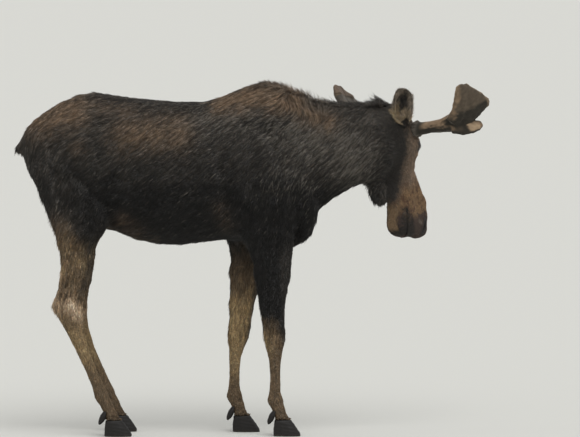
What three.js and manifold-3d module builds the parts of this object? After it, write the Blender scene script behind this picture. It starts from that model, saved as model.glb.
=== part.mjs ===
// A young bull moose, standing with its head lowered and turned away to its left, life size.
// Millimetres, +Z up, +X the way the trunk faces, +Y its left. The floor is z = 0.
// Stations are given in the animal's own frame: x = 0 is under the withers, y = 0 the trunk's middle
// plane. The finished group is then moved so that its origin is the centre of its footprint.

import * as THREE from 'three';
import { LoftGeometry } from 'three/addons/geometries/LoftGeometry.js';
import { mergeVertices } from 'three/addons/utils/BufferGeometryUtils.js';
import Module from 'manifold-3d';

const wasm = await Module();
wasm.setup();

// ---- Driving dimensions -------------------------------------------------------------------------

const GAP = 0.5; // clearance left round a piece that is set into its neighbour

const HEAD_LENGTH = 664; // poll to lips
const HEAD_YAW = 50; // degrees the face is turned to the animal's left
const HEAD_PITCH = 78; // degrees the face hangs below the horizontal
const POLL = new THREE.Vector3( 686, 185, 1615 );

const EYE_AT = new THREE.Vector3( 200, 93, 56 ); // the left eye, in the head's frame
const EYE_RADIUS = 21;

const FORE_STANCE = 118; // a fore hoof's distance from the middle plane
const HIND_STANCE = 138;
const CORONET = 82; // height of the hoof's upper edge
const FAR_FORE_STEP = - 205; // how far the left fore hoof stands behind the right one
const FAR_HIND_STEP = 22;

// How many points go round each kind of section, and how many sections make each long body.
const RING = { trunk: 24, neck: 20, head: 24, leg: 10, hoof: 10, antler: 12, ear: 16, small: 6 };
const ROWS = { trunk: 22, neck: 10, head: 22 };

// ---- Colours ------------------------------------------------------------------------------------

const finish = ( color, roughness ) => new THREE.MeshStandardMaterial( { color, roughness, metalness: 0 } );
const COAT_DARK = finish( 0x2a2420, 0.9 );
const COAT_BROWN = finish( 0x4a3828, 0.9 );
const LEG_BROWN = finish( 0x5a4a3a, 0.9 );
const VELVET = finish( 0x5e4a3a, 0.95 );
const HORN = finish( 0x1d1a18, 0.5 );
const EYE = finish( 0x120c08, 0.1 );

// ---- Shaping helpers ----------------------------------------------------------------------------

/** Smooth functions of the first field of a list of stations, one for each of the other fields. */
function sweep( stations ) {

	const [ along, ...fields ] = Object.keys( stations[ 0 ] );
	const values = stations.flatMap( ( s ) => fields.map( ( f ) => s[ f ] ) );
	const track = new THREE.CubicInterpolant( stations.map( ( s ) => s[ along ] ), values, fields.length );
	return ( t ) => {

		const found = track.evaluate( t );
		return Object.fromEntries( fields.map( ( f, i ) => [ f, found[ i ] ] ) );

	};

}

/** So many places from the first station to the last, closer together towards both ends. */
function spread( stations, count ) {

	const [ first, last ] = [ stations[ 0 ], stations.at( - 1 ) ].map( ( s ) => Object.values( s )[ 0 ] );
	const share = ( i ) => 0.5 - 0.5 * Math.cos( Math.PI * i / ( count - 1 ) );
	return Array.from( { length: count }, ( _, i ) => first + ( last - first ) * share( i ) );

}

/**
 * One closed ring of points round a centre, from side towards up. Its halves above and below the centre
 * are superellipses of their own height; power 2 is round, more is boxier.
 */
function ring( count, centre, side, up, { half, above, below, power = 2, keel = power } ) {

	return Array.from( { length: count }, ( _, i ) => {

		const angle = 2 * Math.PI * i / count;
		const c = Math.cos( angle );
		const s = Math.sin( angle );
		const n = s >= 0 ? power : keel;
		const bend = ( v ) => Math.sign( v ) * Math.abs( v ) ** ( 2 / n );
		const point = centre.clone().addScaledVector( side, half * bend( c ) );
		return point.addScaledVector( up, bend( s ) * ( s >= 0 ? above : below ) );

	} );

}

const loft = ( rings ) => new LoftGeometry( rings, { capStart: true, capEnd: true } );

/** The geometry with its doubled vertices merged, so that it closes. */
function closed( geometry ) {

	const bare = new THREE.BufferGeometry().copy( geometry );
	bare.deleteAttribute( 'normal' );
	bare.deleteAttribute( 'uv' );
	return mergeVertices( bare, 1e-3 );

}

function solid( geometry ) {

	const mesh = closed( geometry );
	return new wasm.Manifold( new wasm.Mesh( {
		numProp: 3,
		vertProperties: mesh.attributes.position.array,
		triVerts: new Uint32Array( mesh.index.array ),
	} ) );

}

/** The geometry pushed out along its normals, to cut the seat that it fits in. */
function grown( geometry, by = GAP ) {

	const mesh = closed( geometry );
	mesh.computeVertexNormals();
	const { position, normal } = mesh.attributes;
	for ( let i = 0; i < position.count; i ++ ) {

		position.setXYZ(
			i,
			position.getX( i ) + normal.getX( i ) * by,
			position.getY( i ) + normal.getY( i ) * by,
			position.getZ( i ) + normal.getZ( i ) * by,
		);

	}

	return mesh;

}

function geometryOf( manifold ) {

	const { numProp, numVert, vertProperties, triVerts } = manifold.getMesh();
	const points = new Float32Array( numVert * 3 );
	for ( let i = 0; i < numVert; i ++ ) {

		points.set( vertProperties.subarray( i * numProp, i * numProp + 3 ), i * 3 );

	}

	const geometry = new THREE.BufferGeometry();
	geometry.setAttribute( 'position', new THREE.BufferAttribute( points, 3 ) );
	geometry.setIndex( new THREE.BufferAttribute( triVerts, 1 ) );
	return geometry;

}

/** The base less its neighbours and a gap round each, with any loose scrap left off. */
function fitted( base, neighbours ) {

	const rest = neighbours.reduce( ( left, other ) => left.subtract( solid( grown( other ) ) ), solid( base ) );
	const bodies = rest.decompose().sort( ( a, b ) => b.volume() - a.volume() );
	return geometryOf( bodies[ 0 ] );

}

/** The geometry's part between two heights. */
function between( geometry, low, high ) {

	const reach = 4000;
	const slab = new THREE.BoxGeometry( reach, reach, high - low ).translate( 0, 0, ( low + high ) / 2 );
	return geometryOf( solid( geometry ).intersect( solid( slab ) ) );

}

function named( name, geometry, material ) {

	const mesh = new THREE.Mesh( geometry, material );
	mesh.name = name;
	return mesh;

}

/** The geometry's mirror image across the plane y = 0, with its faces turned back out. */
function mirrored( geometry ) {

	const mesh = closed( geometry ).scale( 1, - 1, 1 );
	const { array } = mesh.index;
	for ( let i = 0; i < array.length; i += 3 ) {

		[ array[ i + 1 ], array[ i + 2 ] ] = [ array[ i + 2 ], array[ i + 1 ] ];

	}

	return mesh;

}

const FORWARD = new THREE.Vector3( 1, 0, 0 );
const LEFT = new THREE.Vector3( 0, 1, 0 );
const UP = new THREE.Vector3( 0, 0, 1 );

// ---- Trunk --------------------------------------------------------------------------------------

// x from the buttock to the breast; the heights of the back, the belly and the widest point; half the
// width; and how square the section is above and below.
const TRUNK = [
	{ x: - 1160, back: 1490, belly: 1404, widest: 1445, half: 36, power: 2, keel: 2 },
	{ x: - 1132, back: 1540, belly: 1322, widest: 1430, half: 94, power: 2, keel: 2 },
	{ x: - 1060, back: 1606, belly: 1200, widest: 1410, half: 152, power: 2, keel: 2 },
	{ x: - 960, back: 1668, belly: 1116, widest: 1400, half: 194, power: 1.9, keel: 2 },
	{ x: - 820, back: 1718, belly: 1044, widest: 1390, half: 226, power: 1.9, keel: 2 },
	{ x: - 700, back: 1702, belly: 1016, widest: 1340, half: 236, power: 2, keel: 2.1 },
	{ x: - 560, back: 1686, belly: 964, widest: 1300, half: 258, power: 2.1, keel: 2.1 },
	{ x: - 400, back: 1672, belly: 944, widest: 1280, half: 274, power: 2.1, keel: 2.1 },
	{ x: - 260, back: 1670, belly: 958, widest: 1270, half: 270, power: 1.95, keel: 2.1 },
	{ x: - 120, back: 1708, belly: 970, widest: 1255, half: 250, power: 1.75, keel: 2 },
	{ x: 0, back: 1758, belly: 950, widest: 1240, half: 222, power: 1.6, keel: 1.9 },
	{ x: 90, back: 1768, belly: 918, widest: 1230, half: 204, power: 1.6, keel: 1.9 },
	{ x: 190, back: 1724, belly: 930, widest: 1225, half: 184, power: 1.7, keel: 1.9 },
	{ x: 270, back: 1690, belly: 970, widest: 1230, half: 152, power: 1.8, keel: 1.9 },
	{ x: 316, back: 1580, belly: 1038, widest: 1240, half: 100, power: 1.9, keel: 1.9 },
	{ x: 332, back: 1400, belly: 1120, widest: 1250, half: 50, power: 2, keel: 2 },
];

function trunkLoft() {

	const at = sweep( TRUNK );
	return loft( spread( TRUNK, ROWS.trunk ).map( ( x ) => {

		const { back, belly, widest, half, power, keel } = at( x );
		const centre = new THREE.Vector3( x, 0, widest );
		const size = { half, above: back - widest, below: widest - belly, power, keel };
		return ring( RING.trunk, centre, LEFT, UP, size );

	} ) );

}

// ---- Neck ---------------------------------------------------------------------------------------

// s from the shoulder to the head; the plan place and heading of its middle; the heights of its crest,
// throat and widest point; half the width.
const NECK = [
	{ s: 0, x: 120, y: 0, heading: 0, crest: 1680, throat: 1040, widest: 1310, half: 110 },
	{ s: 1, x: 240, y: 3, heading: 8, crest: 1686, throat: 1060, widest: 1330, half: 134 },
	{ s: 2, x: 345, y: 22, heading: 16, crest: 1664, throat: 1132, widest: 1360, half: 136 },
	{ s: 3, x: 450, y: 58, heading: 24, crest: 1652, throat: 1211, widest: 1400, half: 126 },
	{ s: 4, x: 545, y: 104, heading: 31, crest: 1652, throat: 1242, widest: 1430, half: 116 },
	{ s: 5, x: 620, y: 152, heading: 38, crest: 1642, throat: 1262, widest: 1450, half: 104 },
	{ s: 6, x: 690, y: 205, heading: 44, crest: 1600, throat: 1335, widest: 1470, half: 80 },
];

function neckLoft() {

	const at = sweep( NECK );
	return loft( spread( NECK, ROWS.neck ).map( ( s ) => {

		const { x, y, heading, crest, throat, widest, half } = at( s );
		const side = LEFT.clone().applyAxisAngle( UP, THREE.MathUtils.degToRad( heading ) );
		const centre = new THREE.Vector3( x, y, widest );
		const size = { half, above: crest - widest, below: widest - throat, power: 1.7, keel: 1.9 };
		return ring( RING.neck, centre, side, UP, size );

	} ) );

}

// ---- Head, in its own frame: x from the poll to the lips, z out of the face, y to its left ---------

// Slant tips a section forward at the face, as the upper lip hangs over the lower one.
const HEAD = [
	{ x: - 32, face: 16, jaw: - 90, widest: - 20, half: 46, power: 2, keel: 2, slant: 0 },
	{ x: - 10, face: 58, jaw: - 126, widest: 0, half: 78, power: 2, keel: 2, slant: 0 },
	{ x: 50, face: 84, jaw: - 158, widest: 10, half: 98, power: 2.2, keel: 1.8, slant: 0 },
	{ x: 120, face: 96, jaw: - 168, widest: 30, half: 103, power: 2.6, keel: 1.6, slant: 0 },
	{ x: 195, face: 94, jaw: - 156, widest: 40, half: 109, power: 2.7, keel: 1.5, slant: 0 },
	{ x: 250, face: 80, jaw: - 132, widest: 24, half: 88, power: 2.3, keel: 1.6, slant: 0 },
	{ x: 325, face: 76, jaw: - 104, widest: 0, half: 68, power: 2.1, keel: 1.8, slant: 0 },
	{ x: 400, face: 100, jaw: - 90, widest: - 2, half: 66, power: 2.2, keel: 2.1, slant: 0.02 },
	{ x: 470, face: 120, jaw: - 86, widest: 4, half: 71, power: 2.4, keel: 2.4, slant: 0.06 },
	{ x: 535, face: 122, jaw: - 89, widest: 8, half: 76, power: 2.7, keel: 2.6, slant: 0.11 },
	{ x: 595, face: 113, jaw: - 97, widest: 8, half: 80, power: 3, keel: 2.7, slant: 0.16 },
	{ x: 640, face: 98, jaw: - 86, widest: 6, half: 71, power: 3, keel: 2.5, slant: 0.2 },
	{ x: HEAD_LENGTH - 4, face: 72, jaw: - 58, widest: 2, half: 50, power: 2.6, keel: 2.2, slant: 0.2 },
];

function headLoft() {

	const at = sweep( HEAD );
	return loft( spread( HEAD, ROWS.head ).map( ( x ) => {

		const { face, jaw, widest, half, power, keel, slant } = at( x );
		const centre = new THREE.Vector3( x + slant * widest, 0, widest );
		const up = new THREE.Vector3( slant, 0, 1 );
		const size = { half, above: face - widest, below: widest - jaw, power, keel };
		return ring( RING.head, centre, LEFT, up, size );

	} ) );

}

/** Carries a geometry from the head's frame into the animal's. */
function onHead( geometry ) {

	const pitch = THREE.MathUtils.degToRad( HEAD_PITCH );
	const turn = new THREE.Euler( 0, pitch, THREE.MathUtils.degToRad( HEAD_YAW ), 'ZYX' );
	const place = new THREE.Matrix4().makeRotationFromEuler( turn ).setPosition( POLL );
	return closed( geometry ).applyMatrix4( place );

}

function eyeBall( side ) {

	return new THREE.SphereGeometry( EYE_RADIUS, 12, 7 ).translate( EYE_AT.x, side * EYE_AT.y, EYE_AT.z );

}

// ---- Ears ---------------------------------------------------------------------------------------

// t from root to tip; half the breadth; the cup's depth; how far round the shell closes, in degrees each
// way from the middle of its back; and how far the section is set towards the ear's rear edge.
const EAR = [
	{ t: 0, half: 29, depth: 28, closes: 150, aside: 4 },
	{ t: 0.12, half: 41, depth: 33, closes: 124, aside: 8 },
	{ t: 0.3, half: 53, depth: 34, closes: 104, aside: 9 },
	{ t: 0.52, half: 55, depth: 31, closes: 92, aside: 4 },
	{ t: 0.74, half: 49, depth: 25, closes: 86, aside: 2 },
	{ t: 0.9, half: 34, depth: 17, closes: 82, aside: 8 },
	{ t: 1, half: 13, depth: 9, closes: 80, aside: 17 },
];
const EAR_SHELL = 7;

/** A cupped shell from its root along a direction, its hollow side facing the opening. */
function earLoft( side, root, direction, opening, length ) {

	const axis = direction.clone().normalize();
	const hollow = opening.clone().projectOnPlane( axis ).normalize();
	const across = hollow.clone().cross( axis );
	const each = RING.ear / 2;
	return loft( EAR.map( ( { t, half, depth, closes, aside } ) => {

		const centre = root.clone().addScaledVector( axis, length * t ).addScaledVector( across, - side * aside );
		const shell = Math.min( EAR_SHELL, 0.6 * depth );
		const point = ( turn, inset ) => {

			const angle = THREE.MathUtils.degToRad( turn );
			const place = centre.clone().addScaledVector( across, ( half - inset ) * Math.sin( angle ) );
			return place.addScaledVector( hollow, - ( depth - inset ) * Math.cos( angle ) );

		};

		const turns = Array.from( { length: each }, ( _, i ) => closes * ( 2 * i / ( each - 1 ) - 1 ) );
		const outer = turns.map( ( turn ) => point( turn, 0 ) );
		const inner = turns.reverse().map( ( turn ) => point( turn, shell ) );
		return [ ...outer, ...inner ];

	} ) );

}

// ---- Antlers, in the head's frame; y is out to that antler's own side -------------------------------

/**
 * A loft along a curve through the stations, its broad side kept towards one direction. Its sections are
 * square to the curve, or with skewed they lie along that direction even where the curve isn't.
 */
function strand( count, stations, broad, skewed = false ) {

	const path = new THREE.CatmullRomCurve3( stations.map( ( { x, y, z } ) => new THREE.Vector3( x, y, z ) ) );
	return loft( stations.map( ( { x, y, z, half, thick }, i ) => {

		const tangent = path.getTangent( i / ( stations.length - 1 ) );
		const side = broad.clone();
		if ( ! skewed ) side.projectOnPlane( tangent );
		side.normalize();
		const up = tangent.clone().cross( side ).normalize();
		return ring( count, new THREE.Vector3( x, y, z ), side, up, { half, above: thick, below: thick } );

	} ) );

}

const BURR_OUT = 118; // the burr's distance from the middle of the head
const BEAM = [
	{ x: 100, y: 66, z: 38, half: 30, thick: 30 },
	{ x: 106, y: 96, z: 44, half: 32, thick: 32 },
	{ x: 109, y: 118, z: 49, half: 37, thick: 36 },
	{ x: 108, y: 134, z: 54, half: 31, thick: 30 },
	{ x: 102, y: 190, z: 72, half: 28, thick: 26 },
	{ x: 97, y: 248, z: 92, half: 36, thick: 26 },
	{ x: 86, y: 304, z: 110, half: 56, thick: 23 },
	{ x: 76, y: 348, z: 124, half: 62, thick: 19 },
];
const PALM = [
	{ x: 84, y: 322, z: 104, half: 58, thick: 20 },
	{ x: 52, y: 358, z: 120, half: 72, thick: 18 },
	{ x: 12, y: 387, z: 131, half: 88, thick: 16 },
	{ x: - 24, y: 407, z: 139, half: 103, thick: 15 },
	{ x: - 50, y: 419, z: 145, half: 109, thick: 14 },
	{ x: - 70, y: 429, z: 151, half: 93, thick: 12 },
	{ x: - 82, y: 434, z: 154, half: 56, thick: 7 },
];
// How far each antler hangs below the level one, as a share of its reach; how wide it reaches and how
// broad its palm is, as shares of the stations' own; and the way the palm's broad side lies.
const HANG = {
	left: { droop: 0.12, reach: 0.9, flare: 1.18, broad: new THREE.Vector3( 0.7, - 0.1, 0.7 ) },
	right: { droop: 0, reach: 1, flare: 1, broad: new THREE.Vector3( 0.61, 0.2, 0.77 ) },
};
const TINE = [
	{ x: 104, y: 310, z: 108, half: 34, thick: 20 },
	{ x: 116, y: 346, z: 130, half: 36, thick: 18 },
	{ x: 118, y: 378, z: 160, half: 32, thick: 15 },
	{ x: 114, y: 394, z: 186, half: 28, thick: 13 },
	{ x: 110, y: 403, z: 206, half: 14, thick: 9 },
];

/** Beam, palm and tine of one antler, fitted to one another but not yet to the head. */
function antlerParts( side, { droop, reach, flare, broad } ) {

	const lowered = ( line ) => line.map( ( { x, y, ...size } ) => {

		return { x: x + droop * y, y: BURR_OUT + reach * ( y - BURR_OUT ), ...size };

	} );
	const flared = PALM.map( ( { half, ...station } ) => ( { ...station, half: flare * half } ) );
	const beam = strand( RING.antler, lowered( BEAM ), new THREE.Vector3( 0.8, 0.1, 0.5 ) );
	const palm = strand( RING.antler + 2, lowered( flared ), broad, true );
	const tine = strand( RING.antler, lowered( TINE ), new THREE.Vector3( 0.7, 0.7, 0 ) );
	const parts = { beam, palm: fitted( palm, [ beam ] ), tine: fitted( tine, [ beam, palm ] ) };
	for ( const [ name, part ] of Object.entries( parts ) ) {

		parts[ name ] = onHead( side > 0 ? part : mirrored( part ) );

	}

	return parts;

}

// ---- Legs, as level rings from the top down --------------------------------------------------------

// Drop is the depth below the top; front and back are places along x; half is half the breadth, and out
// the middle's distance outwards from above the foot.
const STEP_REACH = 1150; // the drop at which a foot's step is complete
const FORE_TOP = 1500;
const FORE_LEG = [
	{ drop: 0, front: 70, back: - 40, half: 38, out: 27 },
	{ drop: 110, front: 150, back: - 110, half: 74, out: 22 },
	{ drop: 250, front: 214, back: - 128, half: 94, out: 26 },
	{ drop: 380, front: 226, back: - 112, half: 92, out: 10 },
	{ drop: 480, front: 206, back: - 66, half: 84, out: 2 },
	{ drop: 560, front: 194, back: - 20, half: 68, out: 2 },
	{ drop: 640, front: 187, back: 8, half: 57, out: 2 },
	{ drop: 740, front: 176, back: 13, half: 50, out: 0 },
	{ drop: 850, front: 162, back: 26, half: 44, out: 0 },
	{ drop: 940, front: 158, back: 44, half: 42, out: 0 },
	{ drop: 1010, front: 158, back: 52, half: 43, out: 0 },
	{ drop: 1070, front: 150, back: 63, half: 37, out: 0 },
	{ drop: 1130, front: 141, back: 75, half: 29, out: 0 },
	{ drop: 1210, front: 138, back: 80, half: 26, out: 0 },
	{ drop: 1275, front: 139, back: 76, half: 28, out: 0 },
	{ drop: 1320, front: 148, back: 68, half: 34, out: 0 },
	{ drop: 1358, front: 162, back: 84, half: 32, out: 0 },
	{ drop: 1394, front: 178, back: 96, half: 36, out: 0 },
	{ drop: FORE_TOP - CORONET, front: 190, back: 100, half: 42, out: 0 },
];

const HIND_TOP = 1440;
const HIND_LEG = [
	{ drop: 0, front: - 780, back: - 1030, half: 50, out: 2 },
	{ drop: 100, front: - 726, back: - 1118, half: 84, out: - 22 },
	{ drop: 230, front: - 704, back: - 1080, half: 94, out: - 20 },
	{ drop: 350, front: - 712, back: - 1026, half: 90, out: - 14 },
	{ drop: 440, front: - 752, back: - 992, half: 78, out: - 10 },
	{ drop: 510, front: - 790, back: - 974, half: 64, out: - 6 },
	{ drop: 590, front: - 802, back: - 968, half: 53, out: - 4 },
	{ drop: 680, front: - 820, back: - 977, half: 44, out: - 2 },
	{ drop: 746, front: - 838, back: - 990, half: 38, out: 0 },
	{ drop: 790, front: - 846, back: - 1002, half: 38, out: 0 },
	{ drop: 842, front: - 848, back: - 978, half: 38, out: 0 },
	{ drop: 915, front: - 841, back: - 938, half: 33, out: 0 },
	{ drop: 1010, front: - 816, back: - 890, half: 27, out: 0 },
	{ drop: 1100, front: - 780, back: - 848, half: 25, out: 0 },
	{ drop: 1185, front: - 742, back: - 812, half: 27, out: 0 },
	{ drop: 1245, front: - 716, back: - 794, half: 34, out: 0 },
	{ drop: 1292, front: - 690, back: - 766, half: 31, out: 0 },
	{ drop: 1330, front: - 668, back: - 750, half: 35, out: 0 },
	{ drop: HIND_TOP - CORONET, front: - 654, back: - 742, half: 41, out: 0 },
];

/** A leg from its top to the coronet. Step moves its foot along x, and the rest of it less and less. */
function legLoft( stations, top, stance, step ) {

	return loft( stations.map( ( { drop, front, back, half, out } ) => {

		const moved = step * Math.min( 1, drop / STEP_REACH );
		const centre = new THREE.Vector3( ( front + back ) / 2 + moved, stance + out, top - drop );
		const reach = ( front - back ) / 2;
		return ring( RING.leg, centre, LEFT, FORWARD, { half, above: reach, below: reach, power: 2.2 } );

	} ) );

}

// One claw, from its sole up to the coronet; toe and heel are measured from the middle of the coronet.
const CLAW = [
	{ z: 0, toe: 92, heel: - 46, half: 21 },
	{ z: 7, toe: 95, heel: - 49, half: 23.5 },
	{ z: 42, toe: 72, heel: - 47, half: 23 },
	{ z: CORONET - GAP, toe: 43, heel: - 42, half: 20 },
];
const CLAW_SPREAD = 25; // from the foot's middle to a claw's

function clawLoft( x, y ) {

	return loft( CLAW.map( ( { z, toe, heel, half } ) => {

		const centre = new THREE.Vector3( x + ( toe + heel ) / 2, y, z );
		const size = { half: ( toe - heel ) / 2, above: half, below: half, power: 1.9 };
		return ring( RING.hoof, centre, FORWARD, LEFT, size );

	} ) );

}

// One dewclaw, down the back of the pastern; back is measured from the middle of the coronet.
const DEWCLAW = [
	{ drop: - 50, back: 34, half: 10 },
	{ drop: - 22, back: 50, half: 16 },
	{ drop: 6, back: 62, half: 14 },
	{ drop: 24, back: 71, half: 5 },
];

function dewclawLoft( x, y ) {

	return loft( DEWCLAW.map( ( { drop, back, half } ) => {

		const centre = new THREE.Vector3( x - back, y, CORONET - drop );
		return ring( RING.small, centre, LEFT, FORWARD, { half, above: 1.2 * half, below: 1.2 * half } );

	} ) );

}

/**
 * One leg in its pieces, for the left side. Cuts are the heights at which it is parted; foot is the
 * middle of its coronet.
 */
function legParts( { stations, top, stance, step, cuts, names } ) {

	const whole = legLoft( stations, top, stance, step );
	const { front, back } = stations.at( - 1 );
	const x = ( front + back ) / 2 + step;
	const levels = [ top + 1, ...cuts, 0 ];
	const parts = {};
	names.forEach( ( name, i ) => {

		parts[ name ] = between( whole, levels[ i + 1 ] + GAP / 2, levels[ i ] - GAP / 2 );

	} );
	for ( const [ name, side ] of [ [ 'outer', 1 ], [ 'inner', - 1 ] ] ) {

		parts[ `hoof_${ name }` ] = clawLoft( x, stance + side * CLAW_SPREAD );
		const dewclaw = dewclawLoft( x, stance + side * 21 );
		parts[ `dewclaw_${ name }` ] = fitted( dewclaw, [ whole, parts[ `hoof_${ name }` ] ] );

	}

	return { whole, ...parts };

}

const FORE = {
	stations: FORE_LEG,
	top: FORE_TOP,
	stance: FORE_STANCE,
	cuts: [ 950, 470 ],
	names: [ 'shoulder', 'forearm', 'cannon' ],
};
const HIND = {
	stations: HIND_LEG,
	top: HIND_TOP,
	stance: HIND_STANCE,
	cuts: [ 985, 600 ],
	names: [ 'thigh', 'gaskin', 'cannon' ],
};
const LEGS = {
	fore_left: legParts( { ...FORE, step: FAR_FORE_STEP } ),
	fore_right: legParts( { ...FORE, step: 0 } ),
	hind_left: legParts( { ...HIND, step: FAR_HIND_STEP } ),
	hind_right: legParts( { ...HIND, step: 0 } ),
};
for ( const leg of [ 'fore_right', 'hind_right' ] ) {

	for ( const part of Object.keys( LEGS[ leg ] ) ) LEGS[ leg ][ part ] = mirrored( LEGS[ leg ][ part ] );

}

// ---- Bell and tail --------------------------------------------------------------------------------

const BELL = [
	{ x: 638, y: 178, z: 1320, half: 46, thick: 26 },
	{ x: 630, y: 176, z: 1264, half: 58, thick: 31 },
	{ x: 627, y: 174, z: 1210, half: 60, thick: 29 },
	{ x: 634, y: 174, z: 1168, half: 46, thick: 21 },
	{ x: 645, y: 174, z: 1142, half: 18, thick: 9 },
];
const TAIL = [
	{ x: - 1128, y: 0, z: 1486, half: 26, thick: 20 },
	{ x: - 1152, y: 0, z: 1466, half: 26, thick: 20 },
	{ x: - 1170, y: 0, z: 1446, half: 22, thick: 17 },
	{ x: - 1184, y: 0, z: 1426, half: 14, thick: 11 },
	{ x: - 1190, y: 0, z: 1416, half: 6, thick: 5 },
];

// ---- Assembly -----------------------------------------------------------------------------------

const vector = ( x, y, z ) => new THREE.Vector3( x, y, z );

const EAR_ROOT = { left: vector( 640, 240, 1576 ), right: vector( 760, 128, 1556 ) };
const trunkWhole = trunkLoft();
const headWhole = onHead( headLoft() );
const neckWhole = neckLoft();
const eyes = { left: onHead( eyeBall( 1 ) ), right: onHead( eyeBall( - 1 ) ) };
const ears = {
	left: earLoft( 1, EAR_ROOT.left, vector( - 0.72, 0.66, 0.02 ), vector( 0.5, 0.6, - 0.6 ), 205 ),
	right: earLoft( - 1, EAR_ROOT.right, vector( - 0.08, - 0.5, 0.85 ), vector( 0.42, - 0.8, - 0.42 ), 202 ),
};
const antlers = {
	left: antlerParts( 1, HANG.left ),
	right: antlerParts( - 1, HANG.right ),
};
const bell = strand( RING.small + 2, BELL, vector( 0.8, 0.6, 0 ) );
const tail = strand( RING.small, TAIL, LEFT );

const moose = new THREE.Group();
const limbs = Object.values( LEGS ).map( ( leg ) => leg.whole );
moose.add( named( 'trunk', fitted( trunkWhole, limbs ), COAT_DARK ) );
moose.add( named( 'neck', fitted( neckWhole, [ trunkWhole, headWhole ] ), COAT_DARK ) );
moose.add( named( 'head', fitted( headWhole, [ eyes.left, eyes.right ] ), COAT_BROWN ) );
moose.add( named( 'bell', fitted( bell, [ neckWhole, headWhole ] ), COAT_DARK ) );
moose.add( named( 'tail', fitted( tail, [ trunkWhole ] ), COAT_DARK ) );
for ( const side of [ 'left', 'right' ] ) {

	const { beam, palm, tine } = antlers[ side ];
	moose.add( named( `eye_${ side }`, eyes[ side ], EYE ) );
	moose.add( named( `ear_${ side }`, fitted( ears[ side ], [ headWhole, neckWhole, beam ] ), COAT_BROWN ) );
	moose.add( named( `antler_${ side }_beam`, fitted( beam, [ headWhole ] ), VELVET ) );
	moose.add( named( `antler_${ side }_palm`, palm, VELVET ) );
	moose.add( named( `antler_${ side }_tine`, tine, VELVET ) );

}

for ( const [ leg, { whole, ...parts } ] of Object.entries( LEGS ) ) {

	for ( const [ part, geometry ] of Object.entries( parts ) ) {

		const isHorn = part.startsWith( 'hoof' ) || part.startsWith( 'dewclaw' );
		const isTop = part === 'shoulder' || part === 'thigh';
		moose.add( named( `${ leg }_${ part }`, geometry, isHorn ? HORN : isTop ? COAT_DARK : LEG_BROWN ) );

	}

}

const box = new THREE.Box3().setFromObject( moose );
const middle = box.getCenter( new THREE.Vector3() );
moose.position.set( - middle.x, - middle.y, - box.min.z );

export default moose;
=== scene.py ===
"""A young bull moose at life size: one skin over the solids of flesh, a coat of mesh tufts over the skin,
velvet antlers, wet eyes and horn hooves. Metres. Shapes are worked out in the animal's own frame, whose
x = 0 is under the withers and y = 0 the trunk's middle plane, and moved into the shared frame by HOME.
"""

import math

import bmesh
import bpy
import numpy as np
from mathutils import Matrix, Vector
from mathutils.bvhtree import BVHTree


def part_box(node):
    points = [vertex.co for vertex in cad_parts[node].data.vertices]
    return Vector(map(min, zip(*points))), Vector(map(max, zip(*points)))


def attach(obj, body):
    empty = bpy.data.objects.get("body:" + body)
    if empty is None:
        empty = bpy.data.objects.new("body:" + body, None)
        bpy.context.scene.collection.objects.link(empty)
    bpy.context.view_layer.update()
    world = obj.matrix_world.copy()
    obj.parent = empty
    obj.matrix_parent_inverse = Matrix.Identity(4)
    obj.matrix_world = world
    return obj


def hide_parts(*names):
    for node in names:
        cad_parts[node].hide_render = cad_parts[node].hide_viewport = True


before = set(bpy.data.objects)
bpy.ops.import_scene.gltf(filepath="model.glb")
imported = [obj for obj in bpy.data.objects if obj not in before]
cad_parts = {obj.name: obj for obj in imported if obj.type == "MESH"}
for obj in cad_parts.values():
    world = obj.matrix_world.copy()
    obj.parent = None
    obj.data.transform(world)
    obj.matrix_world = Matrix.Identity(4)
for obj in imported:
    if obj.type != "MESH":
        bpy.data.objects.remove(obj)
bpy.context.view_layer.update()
RANDOM = np.random.default_rng(7)

# ---- Frames ----

HEAD_YAW = math.radians(50)  # the face is turned to the animal's left
HEAD_PITCH = math.radians(78)  # and hangs below the horizontal
POLL = np.array((0.686, 0.185, 1.615))
EYE_AT = np.array((0.200, 0.093, 0.056))  # the left eye in the head's frame
EYE_RADIUS = 0.021

# Columns: from the poll to the lips, to the head's left, and out of the face.
FACE = np.array(Matrix.Rotation(HEAD_YAW, 3, "Z") @ Matrix.Rotation(HEAD_PITCH, 3, "Y"))
SIDES = {"left": 1, "right": -1}
MIRROR = {side: np.array((1, sign, 1)) for side, sign in SIDES.items()}  # the left side to either one


def middle(node):
    low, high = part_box(node)
    return (np.array(low) + np.array(high)) / 2


BETWEEN_EYES = (middle("eye_left") + middle("eye_right")) / 2
HOME = BETWEEN_EYES - FACE @ (EYE_AT[0], 0, EYE_AT[2]) - POLL


def to_head(points):
    return (points - POLL) @ FACE


def from_head(points):
    return np.asarray(points) @ FACE.T + POLL


def folded(points):
    """Both sides laid over the left one."""
    return points * (1, 0, 1) + np.abs(points) * (0, 1, 0)


# ---- Numbers over surfaces ----

THROUGH = 0.04  # how much of a distance square to the surface counts
STREAK_STEPS = 9


def unit(vectors):
    return vectors / np.maximum(np.linalg.norm(vectors, axis=-1, keepdims=True), 1e-9)


def ramp(values, start, end):
    """0 before start, 1 after end, smooth between them."""
    t = np.clip((values - start) / (end - start), 0, 1)
    return t * t * (3 - 2 * t)


def hill(values, top, reach):
    """1 at the top, falling smoothly to 0 a few reaches away from it."""
    return np.exp(-(((values - top) / reach) ** 2))


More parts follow.
